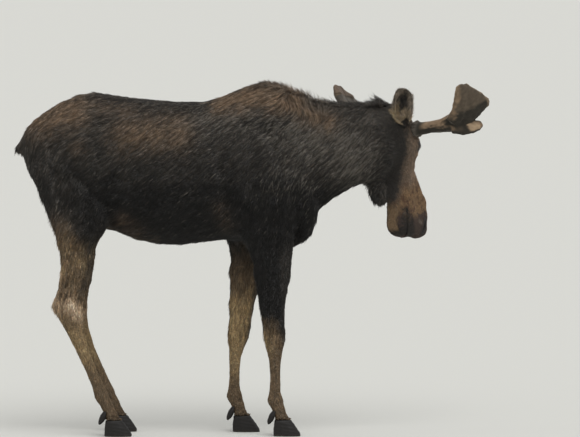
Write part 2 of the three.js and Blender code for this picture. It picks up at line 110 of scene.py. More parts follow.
def near(points, line, width, normals=None):
    """1 on a line through a few places, falling smoothly to 0 a few widths away from it. With normals the
    distance is measured along the surface, and what lies above or below it counts little.
    """
    line = np.atleast_2d(np.asarray(line, float))
    if len(line) == 1:
        line = np.repeat(line, 2, axis=0)
    best = np.full(len(points), np.inf)
    for start, end in zip(line[:-1], line[1:]):
        way = end - start
        share = (points - start) @ way / max(way @ way, 1e-12)
        foot = start + np.clip(share, 0, 1)[:, None] * way
        apart = points - foot
        squared = (apart**2).sum(1)
        if normals is not None:
            squared = squared - (1 - THROUGH) * (apart * normals).sum(1) ** 2
        best = np.minimum(best, squared)
    return np.exp(-best / width**2)


def near_side(points, line, width):
    """The same as near, for a line of x and z: only how things look from the side counts."""
    return near(points[:, [0, 2]], line, width)


def strongest(points, places, share):
    """The share at each point, or what the strongest of the places, seen from the side, gives it."""
    for line, width, most in places:
        share = np.maximum(share, most * near_side(points, line, width))
    return share


def plain(colour, points):
    return np.tile(colour, (len(points), 1))


def blend(colours, other, share):
    return colours + (other - colours) * np.clip(share, 0, 1)[:, None]


def painted(colours, *layers):
    """Colours with layers laid over them in turn, each a colour and its share at each point."""
    for other, share in layers:
        colours = blend(colours, other, share)
    return colours


def track(stations, places):
    """A smooth curve through stations, each the place along and then its values, read at the places."""
    table = np.asarray(stations, float)
    x, y = table[:, 0], table[:, 1:]
    slope = np.gradient(y, x, axis=0)
    i = np.clip(np.searchsorted(x, places) - 1, 0, len(x) - 2)
    step = (x[i + 1] - x[i])[:, None]
    t = ((places - x[i]) / (x[i + 1] - x[i]))[:, None]
    start = (2 * t**3 - 3 * t**2 + 1) * y[i] + (t**3 - 2 * t**2 + t) * step * slope[i]
    return start + (3 * t**2 - 2 * t**3) * y[i + 1] + (t**3 - t**2) * step * slope[i + 1]


def flat_to(normals, directions):
    """The directions with what points out of the surface taken away, one unit long."""
    return unit(directions - normals * (directions * normals).sum(1, keepdims=True))


NOISE_TABLE = RANDOM.standard_normal((48, 48, 48))  # repeats after so many cells each way


def noise(points, cell):
    """Smooth random values through space, with one drawn every cell."""
    low = np.floor(points / cell).astype(int)
    t = points / cell - low
    t = t * t * (3 - 2 * t)
    total = np.zeros(len(points))
    for corner in np.ndindex(2, 2, 2):
        weights = np.where(corner, t, 1 - t).prod(1)
        i, j, k = ((low + corner) % len(NOISE_TABLE)).T
        total += weights * NOISE_TABLE[i, j, k]
    return total


def streaks(points, ways, cell, reach):
    """Random values drawn out along the ways, about -2 to 2."""
    values = sum(noise(points + ways * step, cell) for step in np.linspace(-reach, reach, STREAK_STEPS))
    return np.clip(values / values.std(), -2, 2)


# ---- Meshes ----

FAIR_STEP = 0.5
FAIR_BACK = 0.52  # a little more than the step, so that the shape doesn't shrink


def read(items, name, width, kind=np.float32):
    values = np.empty(len(items) * width, kind)
    items.foreach_get(name, values)
    return values.reshape(-1, width) if width > 1 else values


def triangles_of(piece):
    piece.data.calc_loop_triangles()
    return read(piece.data.loop_triangles, "vertices", 3, np.int32)


def build(name, points, *faces):
    """A smooth mesh object from points in the animal's frame and arrays of triangles or quads."""
    mesh = bpy.data.meshes.new(name)
    mesh.vertices.add(len(points))
    mesh.vertices.foreach_set("co", (points + HOME).astype(np.float32).ravel())
    corners = np.concatenate([f.ravel() for f in faces])
    sizes = np.concatenate([np.full(len(f), f.shape[1]) for f in faces])
    mesh.loops.add(len(corners))
    mesh.loops.foreach_set("vertex_index", corners.astype(np.int32))
    mesh.polygons.add(len(sizes))
    mesh.polygons.foreach_set("loop_start", (np.cumsum(sizes) - sizes).astype(np.int32))
    mesh.update(calc_edges=True)
    mesh.shade_smooth()
    piece = bpy.data.objects.new(name, mesh)
    bpy.context.collection.objects.link(piece)
    return piece


def applied(piece):
    """Makes the piece's modifiers part of its mesh."""
    graph = bpy.context.evaluated_depsgraph_get()
    mesh = bpy.data.meshes.new_from_object(piece.evaluated_get(graph))
    piece.modifiers.clear()
    old, piece.data = piece.data, mesh
    bpy.data.meshes.remove(old)
    mesh.shade_smooth()
    return piece


def remeshed(piece, voxel):
    change = piece.modifiers.new("Remesh", "REMESH")
    change.mode = "VOXEL"
    change.voxel_size = voxel
    return applied(piece)


def joined(piece, other, how):
    """The union or difference with another closed piece, which is used up."""
    change = piece.modifiers.new("Join", "BOOLEAN")
    change.operation = how
    change.solver = "MANIFOLD"
    change.object = other
    applied(piece)
    bpy.data.objects.remove(other)
    return piece


class Surface:
    """A piece's mesh as arrays: its points in the animal's frame, normals and edges."""

    def __init__(self, piece):
        self.mesh = piece.data
        self.points = read(self.mesh.vertices, "co", 3).astype(float) - HOME
        pairs = read(self.mesh.edges, "vertices", 2, np.int32)
        self.starts = np.concatenate((pairs[:, 0], pairs[:, 1]))
        self.ends = np.concatenate((pairs[:, 1], pairs[:, 0]))
        self.shares = np.maximum(np.bincount(self.starts, minlength=len(self.points)), 1)

    @property
    def normals(self):
        return read(self.mesh.vertex_normals, "vector", 3).astype(float)

    def write(self):
        self.mesh.vertices.foreach_set("co", (self.points + HOME).astype(np.float32).ravel())
        self.mesh.update()

    def means(self, values):
        """The mean of each point's neighbours."""
        count = len(self.points)
        columns = [np.bincount(self.starts, column[self.ends], count) for column in values.T]
        return np.stack(columns, 1) / self.shares[:, None]

    def spread(self, values, times, share=0.5):
        """Values spread over the surface, share of the way to the neighbours' mean each time."""
        flat = values[:, None] if values.ndim == 1 else values
        for _ in range(times):
            flat = flat + share * (self.means(flat) - flat)
        return flat[:, 0] if values.ndim == 1 else flat

    def soften(self, times, share=0.5):
        """Smooths the shape. Share may differ from point to point."""
        share = np.broadcast_to(share, len(self.points))[:, None]
        self.points = self.spread(self.points, times, share)
        self.write()

    def fair(self, times, where=1.0):
        """Evens out the shape without shrinking it, as far as it is wanted at each point."""
        share = np.broadcast_to(where, len(self.points))[:, None]
        for _ in range(times):
            self.points = self.spread(self.points, 1, FAIR_STEP * share)
            self.points = self.spread(self.points, 1, -FAIR_BACK * share)
        self.write()

    def push(self, amounts):
        """Moves each point out along its normal."""
        self.points = self.points + self.normals * np.broadcast_to(amounts, len(self.points))[:, None]
        self.write()

    def patches(self, times):
        """Smooth random values, about -1 to 1, in patches that grow with the number of times."""
        values = self.spread(RANDOM.standard_normal(len(self.points)), times)
        return np.clip(values / (2 * values.std()), -1, 1)


def loft(rings):
    """Points and faces of a closed body through rings of points, each of the same count."""
    rings = np.asarray(rings, float)
    rows, count = rings.shape[:2]
    points = np.concatenate((rings.reshape(-1, 3), rings[[0, -1]].mean(1)))
    i, j = np.meshgrid(np.arange(rows - 1), np.arange(count), indexing="ij")
    here, beside = i * count + j, i * count + (j + 1) % count
    walls = np.stack((here, beside, beside + count, here + count), -1).reshape(-1, 4)
    edge, after = np.arange(count), (np.arange(count) + 1) % count
    first = np.stack((after, edge, np.full(count, rows * count)), 1)
    top = (rows - 1) * count
    last = np.stack((top + edge, top + after, np.full(count, rows * count + 1)), 1)
    return points, walls, np.concatenate((first, last))


def facing_out(piece):
    """Turns the piece's faces outwards."""
    form = bmesh.new()
    form.from_mesh(piece.data)
    bmesh.ops.recalc_face_normals(form, faces=form.faces)
    form.to_mesh(piece.data)
    form.free()
    piece.data.shade_smooth()
    return piece


def node_forms(nodes, grow=0.0):
    """Nodes' points in the animal's frame, pushed out by grow, their triangles, and each one's owner."""
    all_points, all_faces, owners, count = [], [], [], 0
    for index, node in enumerate(nodes):
        form = bmesh.new()
        form.from_mesh(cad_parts[node].data)
        bmesh.ops.remove_doubles(form, verts=form.verts, dist=1e-6)
        bmesh.ops.triangulate(form, faces=form.faces)
        form.normal_update()
        all_points.append(np.array([v.co + v.normal * grow for v in form.verts]) - HOME)
        all_faces.append(np.array([[v.index for v in f.verts] for f in form.faces]) + count)
        owners.append(np.full(len(form.faces), index))
        count += len(form.verts)
        form.free()
    return np.concatenate(all_points), np.concatenate(all_faces), np.concatenate(owners)


def nodes_joined(name, nodes, grow):
    """One object of several nodes' forms, each pushed out so that it overlaps its neighbours."""
    return build(name, *node_forms(nodes, grow)[:2])


# ---- Sets of nodes ----

LEGS = {"fore": ("shoulder", "forearm", "cannon"), "hind": ("thigh", "gaskin", "cannon")}
LEG_NODES = [f"{end}_{side}_{part}" for end, parts in LEGS.items() for side in SIDES for part in parts]
BODY_NODES = ["trunk", "neck", "head", "bell", "tail", *LEG_NODES]
FLESH_NODES = [*BODY_NODES, *(f"ear_{side}" for side in SIDES)]
HORN_NODES = [
    f"{end}_{side}_{part}_{place}"
    for end in LEGS
    for side in SIDES
    for part in ("hoof", "dewclaw")
    for place in ("outer", "inner")
]
FORE_STEP = {"left": -0.205, "right": 0.0}  # how far each fore hoof stands ahead of its usual place
HIND_STEP = {"left": 0.022, "right": 0.0}
STEP_REACH = 1.15  # the depth below a leg's top at which its step is complete
FORE_TOP = 1.5
HIND_TOP = 1.44


def stepped(line, end, side):
    """Places on a left leg that stands square, moved onto the leg of that end and side."""
    line = np.array(line, float)
    top, step = (FORE_TOP, FORE_STEP) if end == "fore" else (HIND_TOP, HIND_STEP)
    line[:, 0] += step[side] * np.clip((top - line[:, 2]) / STEP_REACH, 0, 1)
    line[:, 1] *= SIDES[side]
    return line


# ---- Skin: one body ----

GROW = 0.0015  # closes the gaps between the solids
FILLET = 0.014  # creases tighter than this are filled
BODY_VOXEL = 0.0085
BODY_COAT = 0.0090  # the coat's depth over the skin on body, legs and head, and how much less on the crest
LEG_COAT = 0.0045
CREST_COAT = 0.0045
HEAD_COAT = 0.0028
FAIRINGS = 50
EAR_ROOTS = {"left": np.array((0.640, 0.240, 1.576)), "right": np.array((0.760, 0.128, 1.556))}
BURR = np.array((0.109, 0.118, 0.049))  # the middle of the left antler's burr, in the head's frame


def inset(points):
    """How far the skin lies inside the coat's tips."""
    head = to_head(points)
    on_head = ramp(head[:, 0], -0.03, 0.10) * ramp(head[:, 2], -0.19, -0.13)
    low = ramp(points[:, 2], 0.95, 0.55)
    crest = near(points, CREST, 0.06)
    depth = BODY_COAT * (1 - low) + LEG_COAT * low - CREST_COAT * crest
    return depth * (1 - on_head) + HEAD_COAT * on_head


# The top line from the hump to the poll, where the coat stands up in bristles.
CREST = [(-0.10, 0, 1.71), (0.05, 0, 1.766), (0.19, 0, 1.73), (0.35, 0.02, 1.68), (0.45, 0.06, 1.655)]
CREST += [(0.545, 0.104, 1.655), (0.64, 0.16, 1.64)]

# Forms under the skin: places on the left side, the width, and how far they rise or sink.
FORMS = [
    ([(0.06, 0.10, 1.70), (0.13, 0.17, 1.45), (0.19, 0.18, 1.27)], 0.034, 0.007),  # shoulder blade
    ([(-0.09, 0.22, 1.40), (0.00, 0.20, 1.15)], 0.085, 0.012),  # upper arm's muscle
    ([(-0.19, 0.25, 1.52), (-0.16, 0.24, 1.25), (-0.13, 0.20, 1.05)], 0.038, -0.012),  # behind it
    ([(0.25, 0.12, 1.58), (0.27, 0.16, 1.35), (0.25, 0.16, 1.18)], 0.036, -0.009),  # before the shoulder
    ([(0.20, 0.16, 1.24)], 0.055, 0.009),  # point of the shoulder
    ([(-0.74, 0.18, 1.64), (-0.69, 0.215, 1.55)], 0.040, 0.012),  # hip
    ([(-0.62, 0.245, 1.44), (-0.66, 0.23, 1.30)], 0.080, -0.016),  # flank's hollow
    ([(-0.63, 0.22, 1.16), (-0.70, 0.19, 1.07)], 0.030, 0.007),  # flank's fold
    ([(-0.80, 0.235, 1.40), (-0.80, 0.22, 1.18)], 0.090, 0.010),  # thigh
    ([(-1.03, 0.17, 1.50), (-0.99, 0.19, 1.30), (-0.955, 0.17, 1.08)], 0.022, -0.008),  # its rear groove
    ([(-1.12, 0.085, 1.50)], 0.034, 0.009),  # seat bone
    ([(-0.90, 0.13, 1.69), (-1.02, 0.08, 1.63)], 0.045, -0.006),  # rump beside the spine
    ([(-0.35, 0.16, 1.62), (-0.60, 0.14, 1.63)], 0.050, -0.005),  # loin beside the spine
    ([(0.30, 0.02, 1.18), (0.27, 0.02, 1.05)], 0.030, -0.010),  # between the breast muscles
    ([(0.28, 0.08, 1.12)], 0.070, 0.010),  # breast
]
RIBS = 9
FIRST_RIB = -0.20
RIB_GAP = 0.052
RIB_WIDTH = 0.016
RIB_HEIGHT = 0.0022
FORE_FORMS = [
    ([(-0.10, 0.17, 1.07), (-0.09, 0.15, 1.00)], 0.040, 0.010),  # elbow
    ([(0.17, 0.15, 0.98), (0.15, 0.14, 0.74)], 0.040, 0.006),  # the forearm's front muscle
    ([(0.012, 0.125, 1.00), (0.008, 0.122, 0.82)], 0.045, 0.014),  # and its rear ones
    ([(0.02, 0.17, 0.92), (0.05, 0.155, 0.72)], 0.018, -0.005),
    ([(0.035, 0.118, 0.505), (0.040, 0.118, 0.475)], 0.026, 0.001),  # the bone behind the knee
    ([(0.150, 0.118, 0.53), (0.150, 0.118, 0.46)], 0.030, 0.004),
    ([(0.070, 0.155, 0.40), (0.088, 0.150, 0.18)], 0.011, -0.006),  # before the tendon
    ([(0.070, 0.081, 0.40), (0.088, 0.086, 0.18)], 0.011, -0.006),
    ([(0.10, 0.155, 0.175), (0.10, 0.081, 0.175)], 0.024, 0.004),  # fetlock
    ([(0.150, 0.118, 0.112), (0.163, 0.118, 0.088)], 0.020, -0.005),  # between the claws
]
HIND_FORMS = [
    ([(-0.70, 0.14, 1.10), (-0.715, 0.14, 1.03)], 0.050, 0.010),  # stifle
    ([(-0.80, 0.19, 0.95), (-0.82, 0.17, 0.76)], 0.032, 0.006),  # the gaskin's muscle
    ([(-0.905, 0.175, 0.93), (-0.935, 0.170, 0.75)], 0.024, -0.012),  # before the hock's tendon
    ([(-0.905, 0.095, 0.93), (-0.935, 0.100, 0.75)], 0.024, -0.010),
    ([(-0.995, 0.138, 0.675), (-0.990, 0.138, 0.635)], 0.024, 0.007),  # point of the hock
    ([(-0.91, 0.172, 0.64), (-0.90, 0.172, 0.59)], 0.028, 0.004),
    ([(-0.91, 0.165, 0.53), (-0.865, 0.165, 0.24)], 0.011, -0.006),
    ([(-0.91, 0.110, 0.53), (-0.865, 0.110, 0.24)], 0.011, -0.006),
    ([(-0.762, 0.172, 0.195), (-0.762, 0.104, 0.195)], 0.024, 0.004),
    ([(-0.700, 0.138, 0.120), (-0.680, 0.138, 0.088)], 0.020, -0.005),
]

# The same on the head, in its own frame.
HEAD_FORMS = [
    ([(0.175, 0.082, 0.072), (0.208, 0.080, 0.074), (0.245, 0.078, 0.068)], 0.018, 0.006),  # brow
    ([(0.238, 0.098, 0.058), (0.270, 0.085, 0.056), (0.310, 0.076, 0.058)], 0.020, 0.008),  # its front rim
    ([(0.235, 0.098, 0.022), (0.32, 0.070, 0.004), (0.40, 0.064, -0.004)], 0.015, 0.005),  # cheek's ridge
    ([(0.35, 0.046, 0.082), (0.43, 0.048, 0.080), (0.50, 0.054, 0.082)], 0.030, 0.009),  # ridges of the nose
    ([(0.50, 0.058, 0.084), (0.56, 0.064, 0.080)], 0.030, 0.004),
    ([(0.30, 0.07, -0.045), (0.42, 0.062, -0.045)], 0.026, -0.006),  # the cheek's hollow
    ([(0.15, 0.095, -0.060), (0.20, 0.085, -0.085)], 0.050, 0.008),  # jaw muscle
    ([(0.055, 0.098, -0.02), (0.075, 0.092, -0.10)], 0.020, -0.007),  # behind it
    ([(0.200, 0.110, 0.056)], 0.036, 0.0015),  # eye's socket
    ([(0.246, 0.096, 0.040), (0.266, 0.088, 0.034)], 0.008, -0.004),  # tear pit
    ([(0.11, 0.03, 0.10), (0.25, 0.03, 0.088)], 0.024, 0.004),  # forehead
    ([(0.17, 0.0, 0.10), (0.28, 0.0, 0.078)], 0.022, -0.006),
    ([(0.47, 0.066, -0.018), (0.56, 0.076, -0.030), (0.62, 0.072, -0.035)], 0.022, 0.007),  # upper lip
    ([(0.58, 0.045, -0.092), (0.63, 0.030, -0.082)], 0.026, 0.005),  # lower lip
    ([(0.50, 0.050, 0.095), (0.58, 0.050, 0.090)], 0.026, 0.005),  # over the nostril
    ([(0.585, 0.080, 0.085), (0.560, 0.078, 0.055), (0.575, 0.078, 0.020)], 0.012, -0.004),  # behind it
    ([(0.60, 0.0, 0.110), (0.66, 0.0, 0.04)], 0.012, -0.004),  # between the nostrils
    ([(0.648, 0.052, 0.050), (0.652, 0.045, 0.010)], 0.024, 0.012),  # the muzzle's lower front edge
]
MOUTH = [(0.500, 0.064, -0.050), (0.530, 0.068, -0.058), (0.575, 0.070, -0.068)]
MOUTH += [(0.625, 0.052, -0.066), (0.655, 0.020, -0.060), (0.660, 0.0, -0.059)]
NOSTRIL = [(0.592, 0.076, 0.066), (0.618, 0.078, 0.052), (0.642, 0.070, 0.030)]


def body_forms(points, normals):
    """How far the body's muscles and bones lift the skin."""
    square = folded(points)
    lift = sum(height * near(square, line, width) for line, width, height in FORMS)
    for i in range(RIBS):
        x = FIRST_RIB - RIB_GAP * i
        rib = [(x, 0.27, 1.46), (x - 0.03, 0.28, 1.30), (x - 0.01, 0.26, 1.12)]
        lift = lift + RIB_HEIGHT * near(square, rib, RIB_WIDTH)
    for side in SIDES:
        for end, forms in (("fore", FORE_FORMS), ("hind", HIND_FORMS)):
            for line, width, height in forms:
                lift = lift + height * near(points, stepped(line, end, side), width, normals)
    return lift


def head_forms(points, normals):
    """How far the head's bones, muscles and lips lift the skin, and its mouth's line sinks."""
    head, out = to_head(points), normals @ FACE
    out[:, 1] *= np.sign(head[:, 1])
    head = folded(head)
    on_head = ramp(head[:, 0], -0.05, 0.02)
    lift = sum(height * near(head, line, width, out) for line, width, height in HEAD_FORMS)
    cut = 0.0100 * ramp(head[:, 0], 0.488, 0.565)
    lift = lift + 0.0035 * near(head, MOUTH, 0.016, out) - cut * near(head, MOUTH, 0.0042, out)
    return on_head * (lift + 0.004 * near(head, NOSTRIL, 0.020, out))


def refined(piece, wanted):
    """Splits each edge whose two ends are both wanted."""
    form = bmesh.new()
    form.from_mesh(piece.data)
    form.verts.ensure_lookup_table()
    edges = [e for e in form.edges if wanted[e.verts[0].index] and wanted[e.verts[1].index]]
    bmesh.ops.subdivide_edges(form, edges=edges, cuts=1, use_grid_fill=True)
    form.to_mesh(piece.data)
    form.free()
    return piece


def refine_head(skin):
    """Makes the mesh finer over the head, and finer again round the eyes, the nostrils and the mouth."""
    head = to_head(Surface(skin).points)
    refined(skin, (head[:, 0] > -0.01) & (head[:, 2] > -0.19))
    skin_surface = Surface(skin)
    head = to_head(skin_surface.points)
    skin_surface.soften(3, 0.5 * ((head[:, 0] > -0.03) & (head[:, 2] > -0.2)))
    square = folded(head)
    by_eye = np.linalg.norm(square - EYE_AT, axis=1) < 0.055
    by_mouth = (near(square, MOUTH, 0.02) > 0.1) | (near(square, NOSTRIL, 0.03) > 0.1)
    refined(skin, by_eye | by_mouth)
    skin_surface = Surface(skin)
    head = to_head(skin_surface.points)
    skin_surface.soften(2, 0.5 * ((head[:, 0] > 0.13) & (head[:, 2] > -0.15)))


def make_body_skin():
    skin = nodes_joined("skin", BODY_NODES, GROW)
    remeshed(skin, BODY_VOXEL)
    Surface(skin).push(FILLET)
    remeshed(skin, BODY_VOXEL)
    Surface(skin).push(-FILLET - GROW)
    surface = Surface(skin)
    surface.fair(10)
    high = ramp(surface.points[:, 2], 0.95, 1.10)
    surface.fair(FAIRINGS, high * ramp(to_head(surface.points)[:, 0], -0.02, -0.12))
    surface.push(-inset(surface.points))
    surface.fair(8)
    surface.soften(2)
    refine_head(skin)
    surface = Surface(skin)
    normals = surface.normals
    surface.push(body_forms(surface.points, normals) + head_forms(surface.points, normals))
    return skin


# ---- Skin: ears, lids and nostrils ----

EAR_AXES = {"left": np.array((-0.72, 0.66, 0.02)), "right": np.array((-0.08, -0.5, 0.85))}  # to the tips
EAR_OPENINGS = {"left": np.array((0.5, 0.6, -0.6)), "right": np.array((0.42, -0.8, -0.42))}
EAR_LENGTHS = {"left": 0.205, "right": 0.202}
# t from root to tip; half the breadth; the cup's depth; how far round the shell closes, in degrees; and
# how far its middle swings to the side.
EAR = [
    (-0.12, 0.024, 0.024, 165, 0.000),
    (0.0, 0.029, 0.028, 150, 0.004),
    (0.12, 0.041, 0.033, 124, 0.008),
    (0.3, 0.053, 0.034, 104, 0.009),
    (0.52, 0.055, 0.031, 92, 0.004),
    (0.74, 0.049, 0.025, 86, 0.002),
    (0.9, 0.034, 0.017, 82, 0.008),
    (0.97, 0.020, 0.011, 80, 0.013),
    (1.0, 0.007, 0.007, 80, 0.017),
]
EAR_ROWS = 34  # of the shell's mesh, from root to tip
EAR_COLUMNS = 25  # and round it
EAR_COAT = 0.0022  # the depth of the coat over the shell
EAR_SKIN = 0.0042  # how thick the shell is


def ear_axes(side):
    """The ear's way to its tip, its hollow side and across it."""
    axis = unit(EAR_AXES[side])
    hollow = flat_to(axis[None], EAR_OPENINGS[side][None])[0]
    return axis, hollow, np.cross(hollow, axis)


def make_ear(side):
    """A cupped shell from its root to its tip."""
    axis, hollow, across = ear_axes(side)
    places = EAR[0][0] + (1 - EAR[0][0]) * np.sin(np.linspace(0, np.pi / 2, EAR_ROWS))
    rings = []
    for t, (half, depth, closes, aside) in zip(places, track(EAR, places)):
        centre = EAR_ROOTS[side] + axis * EAR_LENGTHS[side] * t - SIDES[side] * aside * across
        turns = np.radians(closes) * np.linspace(-1, 1, EAR_COLUMNS)
        shell = []
        for inset_by, angles in ((EAR_COAT, turns), (EAR_COAT + min(EAR_SKIN, 0.5 * depth), turns[::-1])):
            wide = max(half - inset_by, 0.001) * np.sin(angles)[:, None] * across
            deep = -max(depth - inset_by, 0.001) * np.cos(angles)[:, None] * hollow
            shell.append(centre + wide + deep)
        rings.append(np.concatenate(shell))
    return facing_out(build("ear", *loft(rings)))


GAZE = unit(np.array((0.18, 0.94, 0.26)))  # where the left eye looks, in the head's frame
SLIT = flat_to(GAZE[None], np.array([(1.0, 0.0, -0.22)]))[0]  # from its rear corner to its front one
LIFT = np.cross(GAZE, SLIT) * np.sign(np.cross(GAZE, SLIT)[2])
EYE_WIDTH = 0.0188
EYE_OPENS = {"up": 0.0118, "down": 0.0088}
EYE_LINE = [EYE_AT + 0.018 * GAZE + step * SLIT for step in (-0.010, 0.010)]
LID_COUNT = 60
SOCKET_GAP = 0.0004  # between the eyeball and the skin behind it
# A lid's section: how far beyond the slit's edge, how far above the eyeball, and how far it has settled
# onto the skin.
LID = [
    (-0.0012, -0.003, 0.0),
    (-0.0004, 0.0005, 0.0),
    (0.0010, 0.0016, 0.0),
    (0.0030, 0.0020, 0.0),
    (0.0056, 0.0017, 0.0),
    (0.0070, 0.0003, 0.02),
    (0.0088, 0.0010, 0.06),
    (0.0125, 0.0012, 0.30),
    (0.0170, 0.0010, 0.68),
    (0.0215, 0.0, 1.0),
    (0.0240, -0.009, 1.0),
    (0.0240, -0.020, 1.0),
    (0.0040, -0.014, 0.0),
]
LID_BALL = 0.016  # so far from the middle of the eye a lid follows the ball
LID_SLOPE = 0.58  # and beyond that it slopes
LID_REACH = 0.1


def eye_edge(angles, beyond=0.0):
    """Places along and across the slit on its almond edge, or that far beyond it."""
    tall = np.where(np.sin(angles) > 0, EYE_OPENS["up"], EYE_OPENS["down"])
    along = EYE_WIDTH * np.cos(angles)
    across = tall * np.sin(angles) * (1 - 0.30 * np.cos(angles) ** 2)
    reach = np.hypot(along, across)
    return along * (1 + beyond / reach), across * (1 + beyond / reach)


def over_eye(along, across, above, settled, side, tree):
    """Points at those tangent offsets from an eye's middle, above the eyeball or settled onto the skin."""
    reach = np.hypot(along, across)
    on_ball = np.sqrt(EYE_RADIUS**2 - np.minimum(reach, LID_BALL) ** 2)
    height = on_ball + above - LID_SLOPE * np.maximum(reach - LID_BALL, 0)
    flat = EYE_AT + along[:, None] * SLIT + across[:, None] * LIFT
    if settled:
        start = from_head((flat + LID_REACH * GAZE) * MIRROR[side])
        way = Vector(FACE @ (-GAZE * MIRROR[side]))
        skin_at = np.array([LID_REACH - tree.ray_cast(Vector(place), way)[3] for place in start])
        height = height + settled * (skin_at + above - height)
    return flat + height[:, None] * GAZE


def make_lids(side, tree):
    """A ring of lid round the eye's slit that runs out onto the skin, to be joined to it."""
    angles = np.linspace(0, 2 * np.pi, LID_COUNT, endpoint=False)
    rows = [over_eye(*eye_edge(angles, beyond), *section, side, tree) for beyond, *section in LID]
    rings = np.stack(rows, 1)
    count = len(LID)
    i, j = np.meshgrid(np.arange(LID_COUNT), np.arange(count), indexing="ij")
    after, beside = (i + 1) % LID_COUNT, (j + 1) % count
    corners = (i * count + j, i * count + beside, after * count + beside, after * count + j)
    points = rings.reshape(-1, 3) * MIRROR[side]
    quads = np.stack([c.ravel() for c in corners], 1)
    return facing_out(build("lids", from_head(points), quads))


def ball(name, centre, radius, rows=32, columns=48):
    """A sphere in the head's frame, its poles along the head's y."""
    turns = np.linspace(0, 2 * np.pi, columns, endpoint=False)
    rings = []
    for tilt in np.linspace(0.02, np.pi - 0.02, rows):
        wide = radius * np.sin(tilt)
        out = np.full(columns, radius * np.cos(tilt))
        rings.append(np.stack((wide * np.cos(turns), out, wide * np.sin(turns)), 1) + centre)
    points, *faces = loft(rings)
    return facing_out(build(name, from_head(points), *faces))


# The hollow of a nostril: how far in it lies, how far back it has moved and its size.
NOSTRIL_DEPTHS = [(-0.014, -0.003, 1.15), (0, 0, 1.0), (0.010, 0.004, 0.84), (0.022, 0.010, 0.6)]
NOSTRIL_DEPTHS += [(0.034, 0.018, 0.3)]
NOSTRIL_HALF = 0.032
NOSTRIL_OPENS = 0.0125
NOSTRIL_COUNT = 36


def make_nostril(side):
    """The body cut out of the skin for a nostril: a teardrop, widest low down at the front."""
    rear, centre, front = (np.array(place) for place in NOSTRIL)
    along = unit(front - rear)
    out = flat_to(along[None], np.array([(0.30, 0.95, 0.05)]))[0]
    across = np.cross(out, along)
    angles = np.linspace(0, 2 * np.pi, NOSTRIL_COUNT, endpoint=False)
    wide = NOSTRIL_OPENS * (0.72 + 0.42 * np.cos(angles))
    bend = 0.006 * np.cos(angles) ** 2
    rings = []
    for depth, back, size in NOSTRIL_DEPTHS:
        ring = centre + size * NOSTRIL_HALF * np.cos(angles)[:, None] * along - back * along
        rings.append(ring + size * (wide * np.sin(angles) + bend)[:, None] * across - depth * out)
    points, *faces = loft(rings)
    return facing_out(build("nostril", from_head(points * MIRROR[side]), *faces))


def skin_tree(skin):
    """The skin as it stands, for finding where a ray meets it, in the animal's frame."""
    return BVHTree.FromPolygons(Surface(skin).points.tolist(), triangles_of(skin).tolist())


def make_skin():
    skin = make_body_skin()
    tree = skin_tree(skin)
    for side in SIDES:
        joined(skin, make_ear(side), "UNION")
        socket = ball("socket", EYE_AT * MIRROR[side], EYE_RADIUS + SOCKET_GAP)
        joined(skin, socket, "DIFFERENCE")
        joined(skin, make_lids(side, tree), "UNION")
        joined(skin, make_nostril(side), "DIFFERENCE")
    surface = Surface(skin)
    points = surface.points
    head = folded(to_head(points))
    by_ear = sum(near(points, EAR_ROOTS[side] + 0.012 * unit(EAR_AXES[side]), 0.030) for side in SIDES)
    reach = np.linalg.norm(head - EYE_AT, axis=1)
    by_lid = ramp(reach, 0.029, 0.034) * ramp(reach, 0.056, 0.044)
    by_nostril = near(head, NOSTRIL, 0.010)
    surface.soften(12, 0.5 * np.clip(by_ear + by_lid + 0.35 * by_nostril, 0, 1))
    return skin


# ---- Zones of the coat ----

DOWN = (0.0, 0.0, -1.0)
CHEEK_WAY = (-0.35, 0.0, -1.0)  # how hair lies on the cheek, in the head's frame
SHAPE_SPREADS = 14  # how often the tufts' sizes are spread over the skin, and the lie of the hair
WAY_SPREADS = 30
PATCHES = (1, 5, 12, 60)  # how large the grain, the clumps, the drifts and the large patches are
# On legs and head the pale hairs, partly painted sheen, are brighter copies of the place's own colour.
OWN_PALE = 2.3  # on legs and head pale hairs are the place's own colour, so many times as bright
EAR_INNER_HAIR = (0.021, 0.42)  # its length and how steeply it rises, in the ear's hollow
EAR_EDGE_HAIR = (0.024, 0.30)  # and on its edges
LENGTH_AND_RISE = slice(0, 3, 2)  # where these stand in a zone's row
UP_FACE = tuple(FACE @ (-1.0, 0.0, -0.25))  # hair on the face lies back from the nose
# Each zone's tuft length and width, how steeply it rises, how many there are, and the lie of its hair.
# Many means tufts laid over each place.
ZONES = {
    "trunk": (0.028, 0.0041, 0.17, 3.4, (-0.80, 0.0, -0.62)),
    "neck": (0.027, 0.0037, 0.19, 3.7, (-0.72, -0.24, -0.62)),
    "head": (0.0125, 0.0021, 0.20, 1.9, UP_FACE),
    "bell": (0.026, 0.0042, 0.40, 8.0, DOWN),
    "tail": (0.032, 0.0042, 0.20, 8.0, (-0.4, 0.0, -1.0)),
    "shoulder": (0.027, 0.0040, 0.17, 3.6, (-0.50, 0.0, -0.85)),
    "forearm": (0.022, 0.0040, 0.17, 3.6, (-0.15, 0.0, -1.0)),
    "cannon": (0.014, 0.0030, 0.16, 2.2, DOWN),
    "thigh": (0.027, 0.0040, 0.17, 3.6, (-0.50, 0.0, -0.85)),
    "gaskin": (0.022, 0.0040, 0.17, 3.6, (-0.15, 0.0, -1.0)),
    "ear": (0.013, 0.0020, 0.22, 2.9, DOWN),
}
